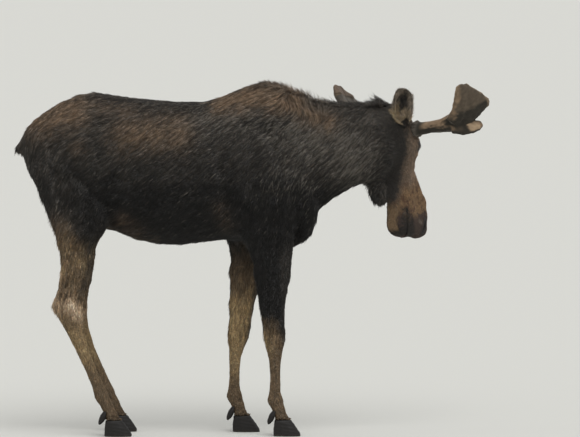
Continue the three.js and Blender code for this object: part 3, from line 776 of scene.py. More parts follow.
# Places, seen from the side, where the hair lies otherwise than in the rest of its zone: x and z along
# a line, how wide, and the lie.
LIES = [
    ([(-1.06, 1.60), (-0.80, 1.67)], 0.12, (-1.0, 0.0, -0.22)),  # rump
    ([(-0.12, 1.70), (0.14, 1.70)], 0.10, (-1.0, 0.0, -0.25)),  # hump
    ([(-1.14, 1.46), (-1.08, 1.22)], 0.10, (-0.20, 0.0, -1.0)),  # buttock
    ([(0.18, 1.67), (0.31, 1.62)], 0.045, (0.45, 0.0, -0.85)),  # under the crest
    ([(-0.12, 1.48), (0.08, 1.42)], 0.16, (-0.75, 0.0, -0.65)),  # shoulder
    ([(-0.02, 1.15), (0.14, 1.12)], 0.12, (-0.30, 0.0, -1.0)),  # upper arm
]
# Where pale hairs, partly painted sheen of the sky on the hair, are mixed in, given the same way, and their
# share.
PALE_SHEEN_PLACES = [
    ([(0.20, 1.52), (0.38, 1.48), (0.50, 1.38)], 0.13, 0.42),  # neck
    ([(-0.20, 1.60), (-0.02, 1.58), (0.18, 1.50)], 0.085, 0.34),  # shoulder
    ([(-0.14, 1.69), (0.10, 1.70), (0.34, 1.61)], 0.065, 0.50),  # hump
    ([(-0.56, 1.53), (-0.36, 1.53), (-0.22, 1.58)], 0.085, 0.36),  # loin and upper ribs
    ([(-1.02, 1.62), (-0.84, 1.66)], 0.09, 0.34),  # rump
    ([(-0.98, 1.12), (-0.94, 1.02)], 0.06, 0.16),  # lower thigh
    ([(0.16, 1.30), (0.34, 1.34)], 0.10, 0.16),  # before the shoulder
]
# Where the coat is reddish brown.
WARM_PLACES = [
    ([(-0.62, 1.52), (-0.38, 1.53)], 0.085, 0.78),  # loin
    ([(-0.78, 1.66), (-0.60, 1.62)], 0.050, 0.45),  # hip
    ([(-1.06, 1.58), (-0.88, 1.64)], 0.085, 1.0),  # rump
    ([(-0.16, 1.67), (0.04, 1.695), (0.20, 1.66)], 0.058, 1.15),  # hump
    ([(0.20, 1.64), (0.38, 1.57)], 0.050, 0.80),  # under the crest
    ([(-0.86, 1.46)], 0.045, 0.40),  # thigh
    ([(-0.16, 1.16), (-0.12, 1.06)], 0.04, 0.15),  # behind the elbow
    ([(-0.64, 1.08), (-0.58, 1.02)], 0.05, 0.26),  # fold of the flank
    ([(-0.98, 1.06), (-0.94, 0.99)], 0.06, 0.45),  # lower thigh
]


def zone_of(node):
    return node.split("_")[-1] if node in LEG_NODES else node.split("_")[0]


def nearest_nodes(points, nodes):
    """The index of the nearest of these nodes to each point."""
    node_points, faces, owners = node_forms(nodes)
    tree = BVHTree.FromPolygons(node_points.tolist(), faces.tolist())
    return owners[[tree.find_nearest(p)[2] for p in points.tolist()]]


class Coat:
    """The skin's triangles, with what a tuft on each of them needs to know."""

    def __init__(self, skin):
        surface = Surface(skin)
        self.points, self.normals = surface.points, surface.normals
        self.head = to_head(self.points)
        self.nodes = nearest_nodes(self.points, FLESH_NODES)
        for side in SIDES:
            t, rim, inner = ear_place(self.points, self.normals, side)
            self.nodes[inner & (t > 0.03) & (t < 1) & (rim < 1)] = FLESH_NODES.index(f"ear_{side}")
        zones = np.array([list(ZONES[zone_of(node)][:4]) for node in FLESH_NODES])[self.nodes]
        ways = np.array([ZONES[zone_of(node)][4] for node in FLESH_NODES])[self.nodes]
        for side in SIDES:
            mine = self.on_node(f"ear_{side}")
            ways[mine] = ear_ways(self.points[mine], side)
        self.shape = surface.spread(self.adjusted(zones), SHAPE_SPREADS)
        off_head = 1 - self.on_head()
        cheek = (1 - off_head) * ramp(self.head[:, 2], 0.035, -0.045) * ramp(self.head[:, 0], 0.44, 0.30)
        ways = blend(ways, FACE @ CHEEK_WAY, cheek)
        for line, width, way in LIES:
            ways = blend(ways, np.array(way), near_side(self.points, line, width) * off_head)
        self.ways = flat_to(self.normals, surface.spread(unit(ways + self.falling()), WAY_SPREADS))
        self.grain, self.clumps, self.drifts, self.large = (surface.patches(times) for times in PATCHES)
        self.triangles = triangles_of(skin)
        corners = self.points[self.triangles]
        across = np.cross(corners[:, 1] - corners[:, 0], corners[:, 2] - corners[:, 0])
        self.areas = 0.5 * np.linalg.norm(across, axis=1)
        self.markings = markings(self)
        self.mix_pale_and_sheen_hair()

    def on_node(self, node):
        return self.nodes == FLESH_NODES.index(node)

    def on_head(self):
        down, out = self.head[:, 0], self.head[:, 2]
        return ramp(down + 0.5 * out, -0.08, 0.06) * ramp(out, -0.19, -0.12)

    def warmth(self):
        """How reddish the coat is, in patches."""
        uneven = 0.80 + 0.12 * self.clumps + 0.24 * self.drifts
        return np.clip(strongest(self.points, WARM_PLACES, 0.0) * uneven, 0, 1) * (1 - self.on_head())

    def mix_pale_and_sheen_hair(self):
        """The share of pale hairs at each point, and their colour; the pale hairs are partly painted sheen.
        """
        height = self.points[:, 2]
        # More pale hairs higher up, as painted sheen where the light from above falls.
        share = strongest(self.points, PALE_SHEEN_PLACES, 0.01 + 0.05 * ramp(height, 1.25, 1.5))
        share = np.where(height < 0.98, 0.08, share)
        on_head = self.on_head()
        self.pale = share * (1 - on_head) + 0.10 * on_head
        brighter = blend(plain(PALE_SHEEN_GREY, share), PALE_SHEEN_WARM, 1.4 * self.warmth())
        own = self.markings * OWN_PALE
        self.pale_and_sheen_colours = blend(brighter, own, np.maximum(on_head, height < 1.0))

    def adjusted(self, zones):
        """Longer hair on crest, throat, belly and the backs of the legs, shorter on muzzle and eyelids."""
        height = self.points[:, 2]
        muzzle = ramp(self.head[:, 0], 0.36, 0.56) * ramp(self.head[:, 2], -0.20, -0.14)
        back_of_leg = ramp(-self.normals[:, 0], 0.3, 0.9) * ramp(height, 0.30, 0.60)
        back_of_leg = back_of_leg * ramp(height, 1.40, 1.05)
        throat = near(self.points, [(0.34, 0.02, 1.13), (0.54, 0.10, 1.24), (0.63, 0.16, 1.27)], 0.07)
        belly = ramp(-self.normals[:, 2], 0.6, 1.0) * ramp(height, 0.80, 0.90)
        crest = near(self.points, CREST[1:], 0.06)
        by_eye = near(folded(self.head), EYE_LINE, 0.035)
        longer = 1 + 0.6 * back_of_leg + 0.05 * throat + 0.2 * belly + 0.1 * crest - 0.5 * by_eye
        zones = zones.copy()
        zones[:, 0] *= longer * (1 - 0.55 * muzzle)
        zones[:, 1] *= 1 - 0.25 * muzzle
        zones[:, 3] *= 1 - 0.60 * muzzle
        zones[:, 2] += 0.18 * crest - 0.06 * throat
        for side in SIDES:
            t, rim, inner = ear_place(self.points, self.normals, side)
            mine = self.on_node(f"ear_{side}")
            zones[inner & mine, LENGTH_AND_RISE] = EAR_INNER_HAIR
            zones[mine & (rim > 0.72) & (t > 0.15) & (t < 0.75), LENGTH_AND_RISE] = EAR_EDGE_HAIR
        return zones

    def falling(self):
        """Hair parts along the spine and falls to each side of it."""
        side = np.sign(self.points[:, 1:2]) * ramp(self.normals[:, 2:3], 0.2, 0.9)
        return 0.5 * side * (0, 1, 0) * self.on_node("trunk")[:, None]


# ---- Markings, the same on skin and coat ----

BLACK = np.array((0.0115, 0.0105, 0.0098))
DARK = np.array((0.050, 0.044, 0.038))
GREY = np.array((0.082, 0.072, 0.061))
WARM = np.array((0.225, 0.152, 0.098))
# Pale hairs' colours, partly painted sheen on the hair.
PALE_SHEEN_GREY = np.array((0.290, 0.262, 0.222))
PALE_SHEEN_WARM = np.array((0.390, 0.280, 0.185))
STRIP = np.array((0.160, 0.118, 0.084))
FACE_BROWN = np.array((0.265, 0.188, 0.130))
MUZZLE = np.array((0.262, 0.166, 0.087))
MUZZLE_RED = np.array((0.125, 0.070, 0.042))
LIP_BROWN = np.array((0.070, 0.047, 0.038))
CHIN = np.array((0.260, 0.175, 0.100))
LEG_BROWN = np.array((0.190, 0.132, 0.078))
LEG_TAN = np.array((0.400, 0.285, 0.150))
PALE_TAN = np.array((0.740, 0.530, 0.360))
LIP_PINK = np.array((0.300, 0.150, 0.115))
NOSE_GREY = np.array((0.170, 0.140, 0.112))
NAKED = np.array((0.014, 0.012, 0.011))
EAR_TAN = np.array((0.430, 0.330, 0.202))
EAR_BROWN = np.array((0.280, 0.228, 0.176))

# The rear edge of the brown strip down the face: how far down the head, and how far out of the face.
STRIP_EDGE = ((0.0, 0.15, 0.276, 0.422, 0.50), (0.02, -0.014, -0.026, -0.062, -0.096))
CHIN_ASIDE = 0.015  # the pale chin lies so far to the head's left of its middle
# The dark place round the mouth: how far down the head, then the height of its middle and half its height.
MOUTH_DARK = ((0.480, 0.525, 0.573, 0.613), (-0.050, -0.062, -0.062, -0.040), (0.002, 0.024, 0.038, 0.075))


def head_markings(colours, head, drifts, grain):
    """Dark cheeks, a brown strip down the face and a warm brown muzzle round a dark mouth."""
    square = folded(head)
    x, y, z = square.T
    wave = 0.010 * drifts + 0.007 * grain
    further = x + wave
    edge = z - np.interp(x, *STRIP_EDGE) + wave
    golden = ramp(further, 0.35, 0.44) * ramp(edge, -0.010, 0.018)
    mottled = blend(plain(MUZZLE, x), MUZZLE_RED, ramp(drifts + 0.5 * grain, -0.2, 0.7))
    lips = ramp(x + 2.0 * wave, 0.525, 0.560) * ramp(z + wave, 0.120, 0.080)
    aside = np.abs(head[:, 1] - CHIN_ASIDE) - CHIN_ASIDE + 0.8 * wave
    under = ramp(z + 0.5 * wave, -0.058, -0.076) * ramp(aside, 0.032, 0.016)
    middle, half = (np.interp(x, MOUTH_DARK[0], row) for row in MOUTH_DARK[1:])
    patch = ramp(np.abs(z - middle) - half + 2.0 * wave, 0.009, -0.010) * ramp(x, 0.470, 0.490)
    patch = patch * (1 - under * ramp(further, 0.615, 0.595)) * (1 - 0.75 * lips * ramp(z, -0.040, -0.020))
    grey_spots = near(square, [(0.582, 0.076, 0.022), (0.595, 0.076, 0.032)], 0.009)
    grey_spots = np.maximum(grey_spots, 0.7 * near(square, [(0.520, 0.058, -0.068)], 0.007))
    lip_edge = near(square, [(0.640, 0.044, -0.066), (0.655, 0.0, -0.062)], 0.007)
    between = ramp(x, 0.600, 0.640) * ramp(y, 0.030, 0.010) * ramp(z, -0.02, 0.01)
    return painted(
        colours,
        (STRIP, ramp(edge, -0.024, 0.022) * ramp(x, 0.02, 0.12)),
        (FACE_BROWN, ramp(edge, 0.010, 0.075) * ramp(x, 0.05, 0.20)),
        (mottled * (1 - 0.16 * grain[:, None]), golden),
        (LIP_BROWN, 0.92 * lips),
        (CHIN, under * ramp(further, 0.470, 0.520) * ramp(further, 0.640, 0.592)),
        (DARK * 0.42, patch * (0.92 + 0.40 * grain)),
        (NOSE_GREY, 0.9 * grey_spots),
        (NAKED * 1.5, 1.5 * near(square, EYE_LINE, 0.0180)),
        (NAKED, 1.3 * near(square, NOSTRIL, 0.017)),
        (NAKED * 1.6, between),
        (LIP_PINK, 0.9 * lip_edge),
        (NAKED, 1.6 * near(square, MOUTH, 0.0045)),
    )


# The middles of the legs seen from the side: heights and how far forward.
HIND_MIDDLE = ((0.20, 0.45, 0.65, 0.75, 0.90, 1.05), (-0.775, -0.865, -0.925, -0.925, -0.885, -0.84))
FORE_MIDDLE = ((0.15, 0.45, 0.90), (0.105, 0.095, 0.085))
LEGS_PART = -0.45  # what lies ahead of this is the forelegs'
LEG_HALF = {"fore": 0.065, "hind": 0.070}  # half a leg's breadth from the side
LEG_TOP = 1.15
HOCK_PATCHES = [
    ([(-0.912, 0.170, 0.665), (-0.880, 0.170, 0.628)], 0.032, 1.0),
    ([(-0.850, 0.165, 0.625), (-0.845, 0.165, 0.585)], 0.022, 0.70),
    ([(-0.905, 0.105, 0.650), (-0.880, 0.105, 0.600)], 0.030, 0.6),
]


def ahead_in_leg(points):
    """How far ahead of its leg's middle a point lies, about -1 at the rear edge and 1 at the front."""
    x, y, z = points.T
    left = y > 0
    share = np.clip((FORE_TOP - z) / STEP_REACH, 0, 1)
    fore = (x - np.interp(z, *FORE_MIDDLE) - left * FORE_STEP["left"] * share) / LEG_HALF["fore"]
    hind = (x - np.interp(z, *HIND_MIDDLE) - left * HIND_STEP["left"] * share) / LEG_HALF["hind"]
    return np.where(x > LEGS_PART, fore, hind)


def leg_markings(colours, points, normals, drifts, grain):
    """Black tops, brown below the elbow and stifle, paler inside, and a mottled pale patch on the hock."""
    x, y, z = points.T
    fore = x > LEGS_PART
    hind = ~fore
    ahead = np.clip(ahead_in_leg(points), -1.2, 1.2)
    inside = ramp(-normals[:, 1] * np.sign(y), 0.0, 0.6) * (np.abs(y) > 0.03)
    wavy = z + 0.022 * drifts + 0.010 * grain
    fore_brown = np.maximum(ramp(wavy + 0.040 * ahead, 0.610, 0.500), inside * ramp(wavy, 1.02, 0.66))
    hind_brown = np.maximum(ramp(wavy + 0.075 * ahead, 1.02, 0.90), inside * ramp(wavy, 1.06, 0.94))
    fore_tan = np.maximum(0.8 * ramp(ahead, 0.5, -0.5) * hill(wavy, 0.47, 0.055), 0.95 * inside)
    fore_tan = fore_tan * ramp(wavy, 0.76, 0.62) * ramp(wavy, 0.20, 0.38)
    rear_streak = ramp(ahead, -0.35, -0.95) * ramp(wavy, 0.92, 0.80) * ramp(wavy, 0.55, 0.66)
    reddish = hill(wavy, 0.88, 0.085) * (0.35 + 0.4 * drifts + 0.3 * grain)
    lighter = hill(wavy, 0.46, 0.12) * (0.85 + 0.2 * drifts)
    hock = [
        (PALE_TAN, share * (near(points, stepped(line, "hind", side), width) * (1.25 + 0.7 * grain)))
        for side in SIDES
        for line, width, share in HOCK_PATCHES
    ]
    dark_strip = ramp(ahead, 0.55, 1.0) * np.where(fore, ramp(z, 0.20, 0.40), 0.7 * ramp(z, 0.66, 0.76))
    return painted(
        colours,
        (LEG_BROWN, np.where(fore, fore_brown, hind_brown)),
        (LEG_TAN, fore * fore_tan),
        (PALE_TAN, hind * 0.65 * rear_streak),
        (LEG_TAN * 0.7, hind * reddish),
        (LEG_TAN, hind * lighter),
        *hock,
        (DARK * 0.8, 0.85 * dark_strip * ramp(z, 1.02, 0.88)),
        (LEG_BROWN * 0.6, 0.6 * ramp(z, 0.15, 0.09)),
    )


def ear_place(points, normals, side):
    """How far up the ear, how near its rim, and whether in its hollow."""
    axis, hollow, across = ear_axes(side)
    offset = points - EAR_ROOTS[side]
    t = offset @ axis / EAR_LENGTHS[side]
    half, aside = track([(s[0], s[1], s[4]) for s in EAR], np.clip(t, -0.1, 0.99)).T
    rim = np.abs(offset @ across + SIDES[side] * aside) / np.maximum(half, 0.01)
    faces = normals @ hollow
    return t, rim, (faces > -0.2) & (offset @ hollow > -0.030) | (faces > 0.3) & (t > 0.02)


def ear_ways(points, side):
    """The lie of the hair on an ear: to its tip, and out over its edges at its broadest."""
    axis, hollow, across = ear_axes(side)
    offset = points - EAR_ROOTS[side]
    t, aside = offset @ axis / EAR_LENGTHS[side], offset @ across
    out = 1.3 * np.clip(aside / 0.045, -1, 1) * ramp(t, -0.05, 0.20) * ramp(t, 0.85, 0.60)
    return unit(axis + out[:, None] * across)


def ear_markings(colours, points, normals, side, grain):
    """Brown-grey behind, inside tan at the base and the rear edge, black in the middle, mottled above."""
    t, rim, inner = ear_place(points, normals, side)
    behind = -SIDES[side] * ((points - EAR_ROOTS[side]) @ ear_axes(side)[2]) + 0.004 * grain
    rim = rim + 0.12 * grain
    low = t + 0.05 * grain
    tan = np.maximum(ramp(behind, 0.004, 0.022) * ramp(low, 0.60, 0.42), ramp(low, 0.17, 0.08))
    crescent = hill(low, 0.22, 0.055) * ramp(behind, -0.036, -0.026) * ramp(behind, 0.010, 0.0)
    middle_dark = ramp(np.abs(behind + 0.007), 0.026, 0.013) * ramp(low, 0.25, 0.33) * ramp(low, 0.84, 0.68)
    back = blend(plain(GREY, points), WARM, 0.5 * ramp(rim, 0.7, 1.0))
    inside = painted(
        plain(EAR_BROWN, points) * (1 + 0.60 * grain[:, None]),
        (EAR_TAN, np.maximum(tan, 0.9 * crescent) * (0.85 + 0.45 * grain)),
        (BLACK * 2.0, middle_dark * (0.92 + 0.40 * grain)),
        (BLACK * 2.0, 0.8 * ramp(rim, 0.90, 1.02) * ramp(t, 0.45, 0.60)),
    )
    return blend(colours, np.where(inner[:, None], inside, back), ramp(t, -0.04, 0.06))


def markings(coat):
    """The colour of skin and hair at each of the skin's points."""
    points, normals, drifts, grain = coat.points, coat.normals, coat.drifts, coat.grain
    x, y, z = points.T
    wavy = z + 0.05 * coat.large + 0.02 * drifts
    spine = ramp(normals[:, 2], 0.72, 0.93) * ramp(x, -0.12, -0.22) * ramp(x, -0.86, -0.76)
    colours = painted(
        plain(BLACK, points),
        (DARK, ramp(wavy, 1.18, 1.46)),
        (DARK, 0.6 * near_side(points, [(-0.97, 1.22), (-0.93, 1.08)], 0.10)),  # lower thigh
        (GREY, 0.8 * ramp(wavy, 1.48, 1.62)),
        (GREY * 1.25, 0.9 * near_side(points, [(0.26, 1.52), (0.40, 1.48), (0.50, 1.40)], 0.13)),  # neck
        (WARM, coat.warmth()),
        (DARK * 0.8, 0.8 * spine),
        (BLACK * 1.5, 0.6 * near(points, CREST[3:], 0.035)),
        (BLACK * 1.4, 0.5 * near_side(points, [(0.00, 1.56), (0.20, 1.59)], 0.035)),  # below the hump
        (head_markings(plain(DARK * 0.72, points), coat.head, drifts, grain), coat.on_head()),
    )
    low = (z < LEG_TOP) & (coat.head[:, 2] < -0.2)
    colours = np.where(low[:, None], leg_markings(colours, points, normals, drifts, grain), colours)
    groin = ramp(-normals[:, 2], 0.2, 0.9) * near(points, [(-0.80, 0.0, 1.02), (-0.95, 0.0, 1.10)], 0.10)
    colours = blend(colours, LEG_BROWN, 0.7 * groin)
    for side in SIDES:
        mine = coat.on_node(f"ear_{side}")
        colours[mine] = ear_markings(colours[mine], points[mine], normals[mine], side, grain[mine])
    return colours


# ---- Tufts ----

PATCH = 0.003  # a tuft's patch on the bake's map, across
MAP_MARGIN = 0.01
STREAK_WIDTH = 0.0043
STREAK_REACH = 0.75  # of a tuft's length
SINGLE_LIGHT = 0.30  # how much lightness differs from tuft to tuft, along streaks and between clumps
STREAK_LIGHT = 0.34
CLUMP_LIGHT = 0.05
# Tufts are darker at the root, painted shade deep in the coat, and lighter at the tip, a painted highlight.
TIP_HIGHLIGHT = 1.30
ROOT_SHADE = 0.60
ROOT_DEPTH = 0.12  # how deep a tuft's root lies, in widths, and how far back, in lengths
ROOT_BACK = 0.1
LEAST_RISE = 0.06
MOST_RISE = 1.2
TUFT_RIDGE = 0.5  # how high its ridge stands, in widths
TUFT_WAIST = 0.8  # how wide a bent lock still is at its middle


def set_colours(mesh, colours):
    layer = mesh.color_attributes.new(COLOUR_LAYER, "FLOAT_COLOR", "POINT")
    rgba = np.ones((len(mesh.vertices), 4), np.float32)
    rgba[:, :3] = np.clip(colours, 0, 1)
    layer.data.foreach_set("color", rgba.ravel())


def set_bake_map(mesh, places):
    layer = mesh.uv_layers.new(name="OFBake")
    corners = read(mesh.loops, "vertex_index", 1, np.int32)
    layer.data.foreach_set("uv", places[corners].astype(np.float32).ravel())


class Roots:
    """Places for tufts on the chosen triangles, with the skin's values there. Many overrides the zones'."""

    def __init__(self, coat, chosen, many=None):
        shape = coat.shape[coat.triangles[chosen]].mean(1)
        cover = many if many is not None else shape[:, 3]
        wanted = cover * coat.areas[chosen] / (0.5 * shape[:, 0] * shape[:, 1])
        counts = np.floor(wanted + RANDOM.random(len(chosen))).astype(int)
        rows = np.repeat(chosen, counts)
        u, v = RANDOM.random((2, len(rows)))
        over = u + v > 1
        u[over], v[over] = 1 - u[over], 1 - v[over]
        weights = np.stack((1 - u - v, u, v), 1)[:, :, None]
        corners = coat.triangles[rows]

        def at(values):
            return (values[corners] * weights).sum(1)

        self.points = at(coat.points)
        self.normals = unit(at(coat.normals))
        self.ways = flat_to(self.normals, at(coat.ways))
        self.shape = at(coat.shape)
        self.colours = at(coat.markings)
        self.pale_and_sheen_colours = at(coat.pale_and_sheen_colours)
        singles = np.stack((coat.clumps, coat.drifts, coat.grain, coat.pale), 1)
        self.clumps, self.drifts, self.grain, self.pale = at(singles).T

    def __len__(self):
        return len(self.points)


def tinted(roots):
    """Each tuft a little lighter, darker, warmer or greyer than the skin's colour, and some of them pale."""
    count = len(roots)
    length = roots.shape[:, 0]
    streak = streaks(roots.points, roots.ways * length[:, None], STREAK_WIDTH, STREAK_REACH)
    streak = streak * ramp(length, 0.008, 0.030)
    light = SINGLE_LIGHT * RANDOM.standard_normal(count) + STREAK_LIGHT * streak + CLUMP_LIGHT * roots.clumps
    light = np.exp(light + (0.26 - 0.18 * ramp(length, 0.010, 0.028)) * roots.grain)[:, None]
    warmth = 0.06 * RANDOM.standard_normal(count)[:, None] * (1, 0, -1)
    # Pale tufts, partly painted sheen, come more often along the lighter streaks.
    chance = roots.pale * np.clip(1 + 0.9 * streak + 0.15 * roots.clumps, 0, 3)
    pale = (RANDOM.random(count) < chance) * (0.25 + 0.55 * RANDOM.random(count))
    return blend(roots.colours * light * (1 + warmth), roots.pale_and_sheen_colours, pale)


def lay_tufts(name, roots, map_places, bend, ragged=0.22):
    """One mesh of closed, tapering, three-sided locks: base and tip, with a middle if they bend."""
    count = len(roots)
    length = roots.shape[:, 0] * np.clip(1 + ragged * RANDOM.standard_normal(count), 0.45, 1.7)
    length = (length * (1 + 0.16 * roots.clumps))[:, None]
    width = (roots.shape[:, 1] * (0.75 + 0.5 * RANDOM.random(count)))[:, None]
    across = np.cross(roots.normals, roots.ways)
    sway = 0.16 * RANDOM.standard_normal(count) + 0.20 * roots.drifts + 0.10 * roots.clumps
    way = unit(roots.ways + across * sway[:, None])
    across = np.cross(roots.normals, way)
    rise = roots.shape[:, 2] * (1 + 0.25 * RANDOM.standard_normal(count) + 0.30 * roots.clumps)
    rise = np.clip(rise, LEAST_RISE, MOST_RISE)[:, None]
    sunk = roots.points - roots.normals * ROOT_DEPTH * width - ROOT_BACK * length * way
    half = across * width / 2
    ridge = roots.normals * width * TUFT_RIDGE
    up = roots.normals
    first_rise, last_rise = rise * (1 + bend), rise * (1 - 1.4 * bend)
    middle_at = sunk + 0.5 * length * (way * np.cos(first_rise) + up * np.sin(first_rise))
    tips = middle_at + 0.5 * length * (way * np.cos(last_rise) + up * np.sin(last_rise))
    points = [sunk - half, sunk + ridge, sunk + half]
    spot = PATCH / 2
    if bend:
        waist = [TUFT_WAIST * part for part in (-half, ridge, half)]
        points += [middle_at + part for part in waist]
        shade_to_highlight = [ROOT_SHADE] * 3 + [1.0] * 3 + [TIP_HIGHLIGHT]
        spots = [(-spot, -spot), (0, -spot), (spot, -spot), (-spot, 0), (0, 0), (spot, 0), (0, spot)]
        faces = [(0, 1, 4), (0, 4, 3), (1, 2, 5), (1, 5, 4), (2, 0, 3), (2, 3, 5)]
        faces += [(3, 4, 6), (4, 5, 6), (5, 3, 6)]
    else:
        shade_to_highlight = [ROOT_SHADE] * 3 + [TIP_HIGHLIGHT]
        spots = [(-spot, -spot), (0, -0.5 * spot), (spot, -spot), (0, spot)]
        faces = [(0, 1, 3), (1, 2, 3), (2, 0, 3)]
    points.append(tips)
    faces.append((0, 2, 1))
    each = len(points)
    starts = np.arange(count)[:, None, None] * each
    triangles = (starts + np.array(faces)[None]).reshape(-1, 3)
    piece = build(name, np.stack(points, 1).reshape(-1, 3), triangles)
    # From root to tip each tuft's colour is scaled by painted shade, then by a painted highlight.
    shades = tinted(roots)[:, None, :] * np.array(shade_to_highlight)[None, :, None]
    set_colours(piece.data, shades.reshape(-1, 3))
    set_bake_map(piece.data, (map_places[:, None, :] + np.array(spots)[None]).reshape(-1, 2))
    return piece


def unwrapped(points, centre, axis):
    """Places on a map from unrolling the skin round an axis, spread over the whole square but its margin."""
    axis = unit(np.asarray(axis, float))
    side = unit(np.cross(axis, (0.0, 0.1, 1.0)))
    offset = points - np.asarray(centre)
    turn = np.arctan2(offset @ np.cross(side, axis), offset @ side)
    raw = np.stack((offset @ axis, turn), 1)
    low, high = raw.min(0), raw.max(0)
    return MAP_MARGIN + (1 - 2 * MAP_MARGIN) * (raw - low) / np.maximum(high - low, 1e-6)


RUMP_FROM = -0.62  # the trunk's coat is split into rump and barrel here
LEVELS_PART = 1.32  # and at this height into an upper and a lower piece
MUZZLE_FROM = 0.36  # and the head's coat this far down it
NAKED_FROM = 0.35  # as near as this to nostrils, eyes or mouth nothing grows


def naked_places(head):
    """Where no tufts grow: nostrils, eyelids, the mouth's line and between the nostrils."""
    square = folded(head)
    naked = near(square, NOSTRIL, 0.014) > NAKED_FROM
    naked |= near(square, EYE_LINE, 0.0225) > NAKED_FROM
    naked |= (near(square, MOUTH, 0.0036) > NAKED_FROM) & (head[:, 0] > 0.525)
    return naked | (head[:, 0] > 0.615) & (square[:, 1] < 0.022) & (head[:, 2] > -0.01)


def lay_coat(coat):
    """The whole coat, piece by piece."""
    triangle_nodes = coat.nodes[coat.triangles[:, 0]]
    centres = coat.points[coat.triangles].mean(1)
    head = to_head(centres)
    bare = naked_places(head)
    rear, high = centres[:, 0] < RUMP_FROM, centres[:, 2] > LEVELS_PART
    pieces = []

    def lay(name, node, where, centre, axis, bend=0):
        chosen = np.flatnonzero((triangle_nodes == FLESH_NODES.index(node)) & where & ~bare)
        roots = Roots(coat, chosen)
        piece = lay_tufts(f"coat_{name}", roots, unwrapped(roots.points, centre, axis), bend)
        pieces.append(piece)

    for side, sign in SIDES.items():
        mine = centres[:, 1] * sign > 0
        for part, where in (("rump", rear), ("barrel", ~rear)):
            for level, there in (("upper", high), ("lower", ~high)):
                lay(f"{part}_{side}_{level}", "trunk", mine & where & there, (-0.4, 0, 1.3), (1, 0, 0))
        neck_side = (centres[:, 1] - 0.6 * (centres[:, 0] - 0.2) > 0) == (sign > 0)
        lay(f"neck_{side}", "neck", neck_side, (0.4, 0.04, 1.4), (0.9, 0.4, 0.1))
        for node in LEG_NODES:
            if side in node:
                lay(node, node, True, middle(node) - HOME, (0, 0.02, 1))
        lay(f"ear_{side}", f"ear_{side}", True, EAR_ROOTS[side], EAR_AXES[side])
        mine = head[:, 1] * sign > 0
        lay(f"head_{side}", "head", mine & (head[:, 0] < MUZZLE_FROM), POLL, FACE[:, 0])
        lay(f"muzzle_{side}", "head", mine & (head[:, 0] >= MUZZLE_FROM), POLL, FACE[:, 0])
    lay("bell", "bell", True, middle("bell") - HOME, (0, 0.02, 1), bend=0.25)
    lay("tail", "tail", True, middle("tail") - HOME, (-0.3, 0, -1), bend=0.25)
    return pieces


# How far forward along the crest, and how long its stiff hair is there: longest behind the ears.
BRISTLE_LENGTHS = (
    (0.03, 0.14, 0.30, 0.36, 0.44, 0.56, 0.60, 0.635, 0.66, 0.69),
    (0.012, 0.030, 0.032, 0.028, 0.021, 0.022, 0.036, 0.042, 0.020, 0.008),
)
BRISTLE_WIDTH = 0.0032
BRISTLE_COVER = 3.2


def make_bristles(coat):
    """The stiff longer hair that stands along the crest from the hump to the poll."""
    centres = coat.points[coat.triangles].mean(1)
    on_crest = near(centres, CREST[1:], 0.036) * ramp(coat.normals[coat.triangles[:, 0]][:, 2], 0.2, 0.7)
    roots = Roots(coat, np.flatnonzero(on_crest > 0.30), BRISTLE_COVER)
    along = roots.points[:, 0]
    roots.ways = flat_to(roots.normals, np.tile((-0.55, -0.25, 0.55), (len(roots), 1)))
    roots.shape[:, 0] = np.interp(along, *BRISTLE_LENGTHS) * (1 + 0.45 * roots.grain)
    roots.shape[:, 1] = BRISTLE_WIDTH
    roots.shape[:, 2] = 0.35 + 0.45 * ramp(along, 0.03, 0.14) + 0.25 * ramp(along, 0.14, 0.36)
    roots.shape[:, 2] += 0.25 * ramp(along, 0.56, 0.60)
    places = unwrapped(roots.points, (0.2, 0, 1.4), (1, 0.2, 0))
    piece = lay_tufts("coat_crest", roots, places, bend=0.3, ragged=0.34)
    return piece


# ---- Materials ----

COLOUR_LAYER = "coat"
FLOOR_COLOUR = (0.70, 0.70, 0.66, 1)
SHEEN = (0.8, 0.72, 0.62, 1)
# Each finish: its roughness; the noise that makes the marking's colour uneven, as its scale and how dark and
# how light it makes it; the noise of its relief, as its scale, detail, strength, height in metres and how it
# is drawn out along the axes; and what else its shader needs.
FINISHES = {
    "coat_hair": (0.52, (25.0, 0.85, 1.15), None, {"Specular IOR Level": 0.42}),
    # Short flat hair is streaks drawn out down the legs and the head.
    "coat_skin": (
        0.62,
        (90.0, 0.6, 1.2),
        (700.0, 3.0, 0.5, 0.0012, (1, 1, 0.16)),
        {"Specular IOR Level": 0.35},
    ),
    "velvet": (
        0.85,
        (45.0, 0.72, 1.28),
        (900.0, 2.0, 0.6, 0.0010, None),
        {"Specular IOR Level": 0.25, "Sheen Weight": 0.35, "Sheen Roughness": 0.4, "Sheen Tint": SHEEN},
    ),
    # Black horn has fine rings and scuffed edges.
    "horn": (
        0.5,
        (120.0, 0.7, 1.4),
        (160.0, 3.0, 0.5, 0.0008, (0.2, 0.2, 2.2)),
        {"Specular IOR Level": 0.3},
    ),
    "wet_eye": (0.12, None, None, {"Coat Weight": 1.0, "Coat Roughness": 0.03}),
    "floor": (0.9, None, None, {"Specular IOR Level": 0.1, "Base Color": FLOOR_COLOUR}),
}


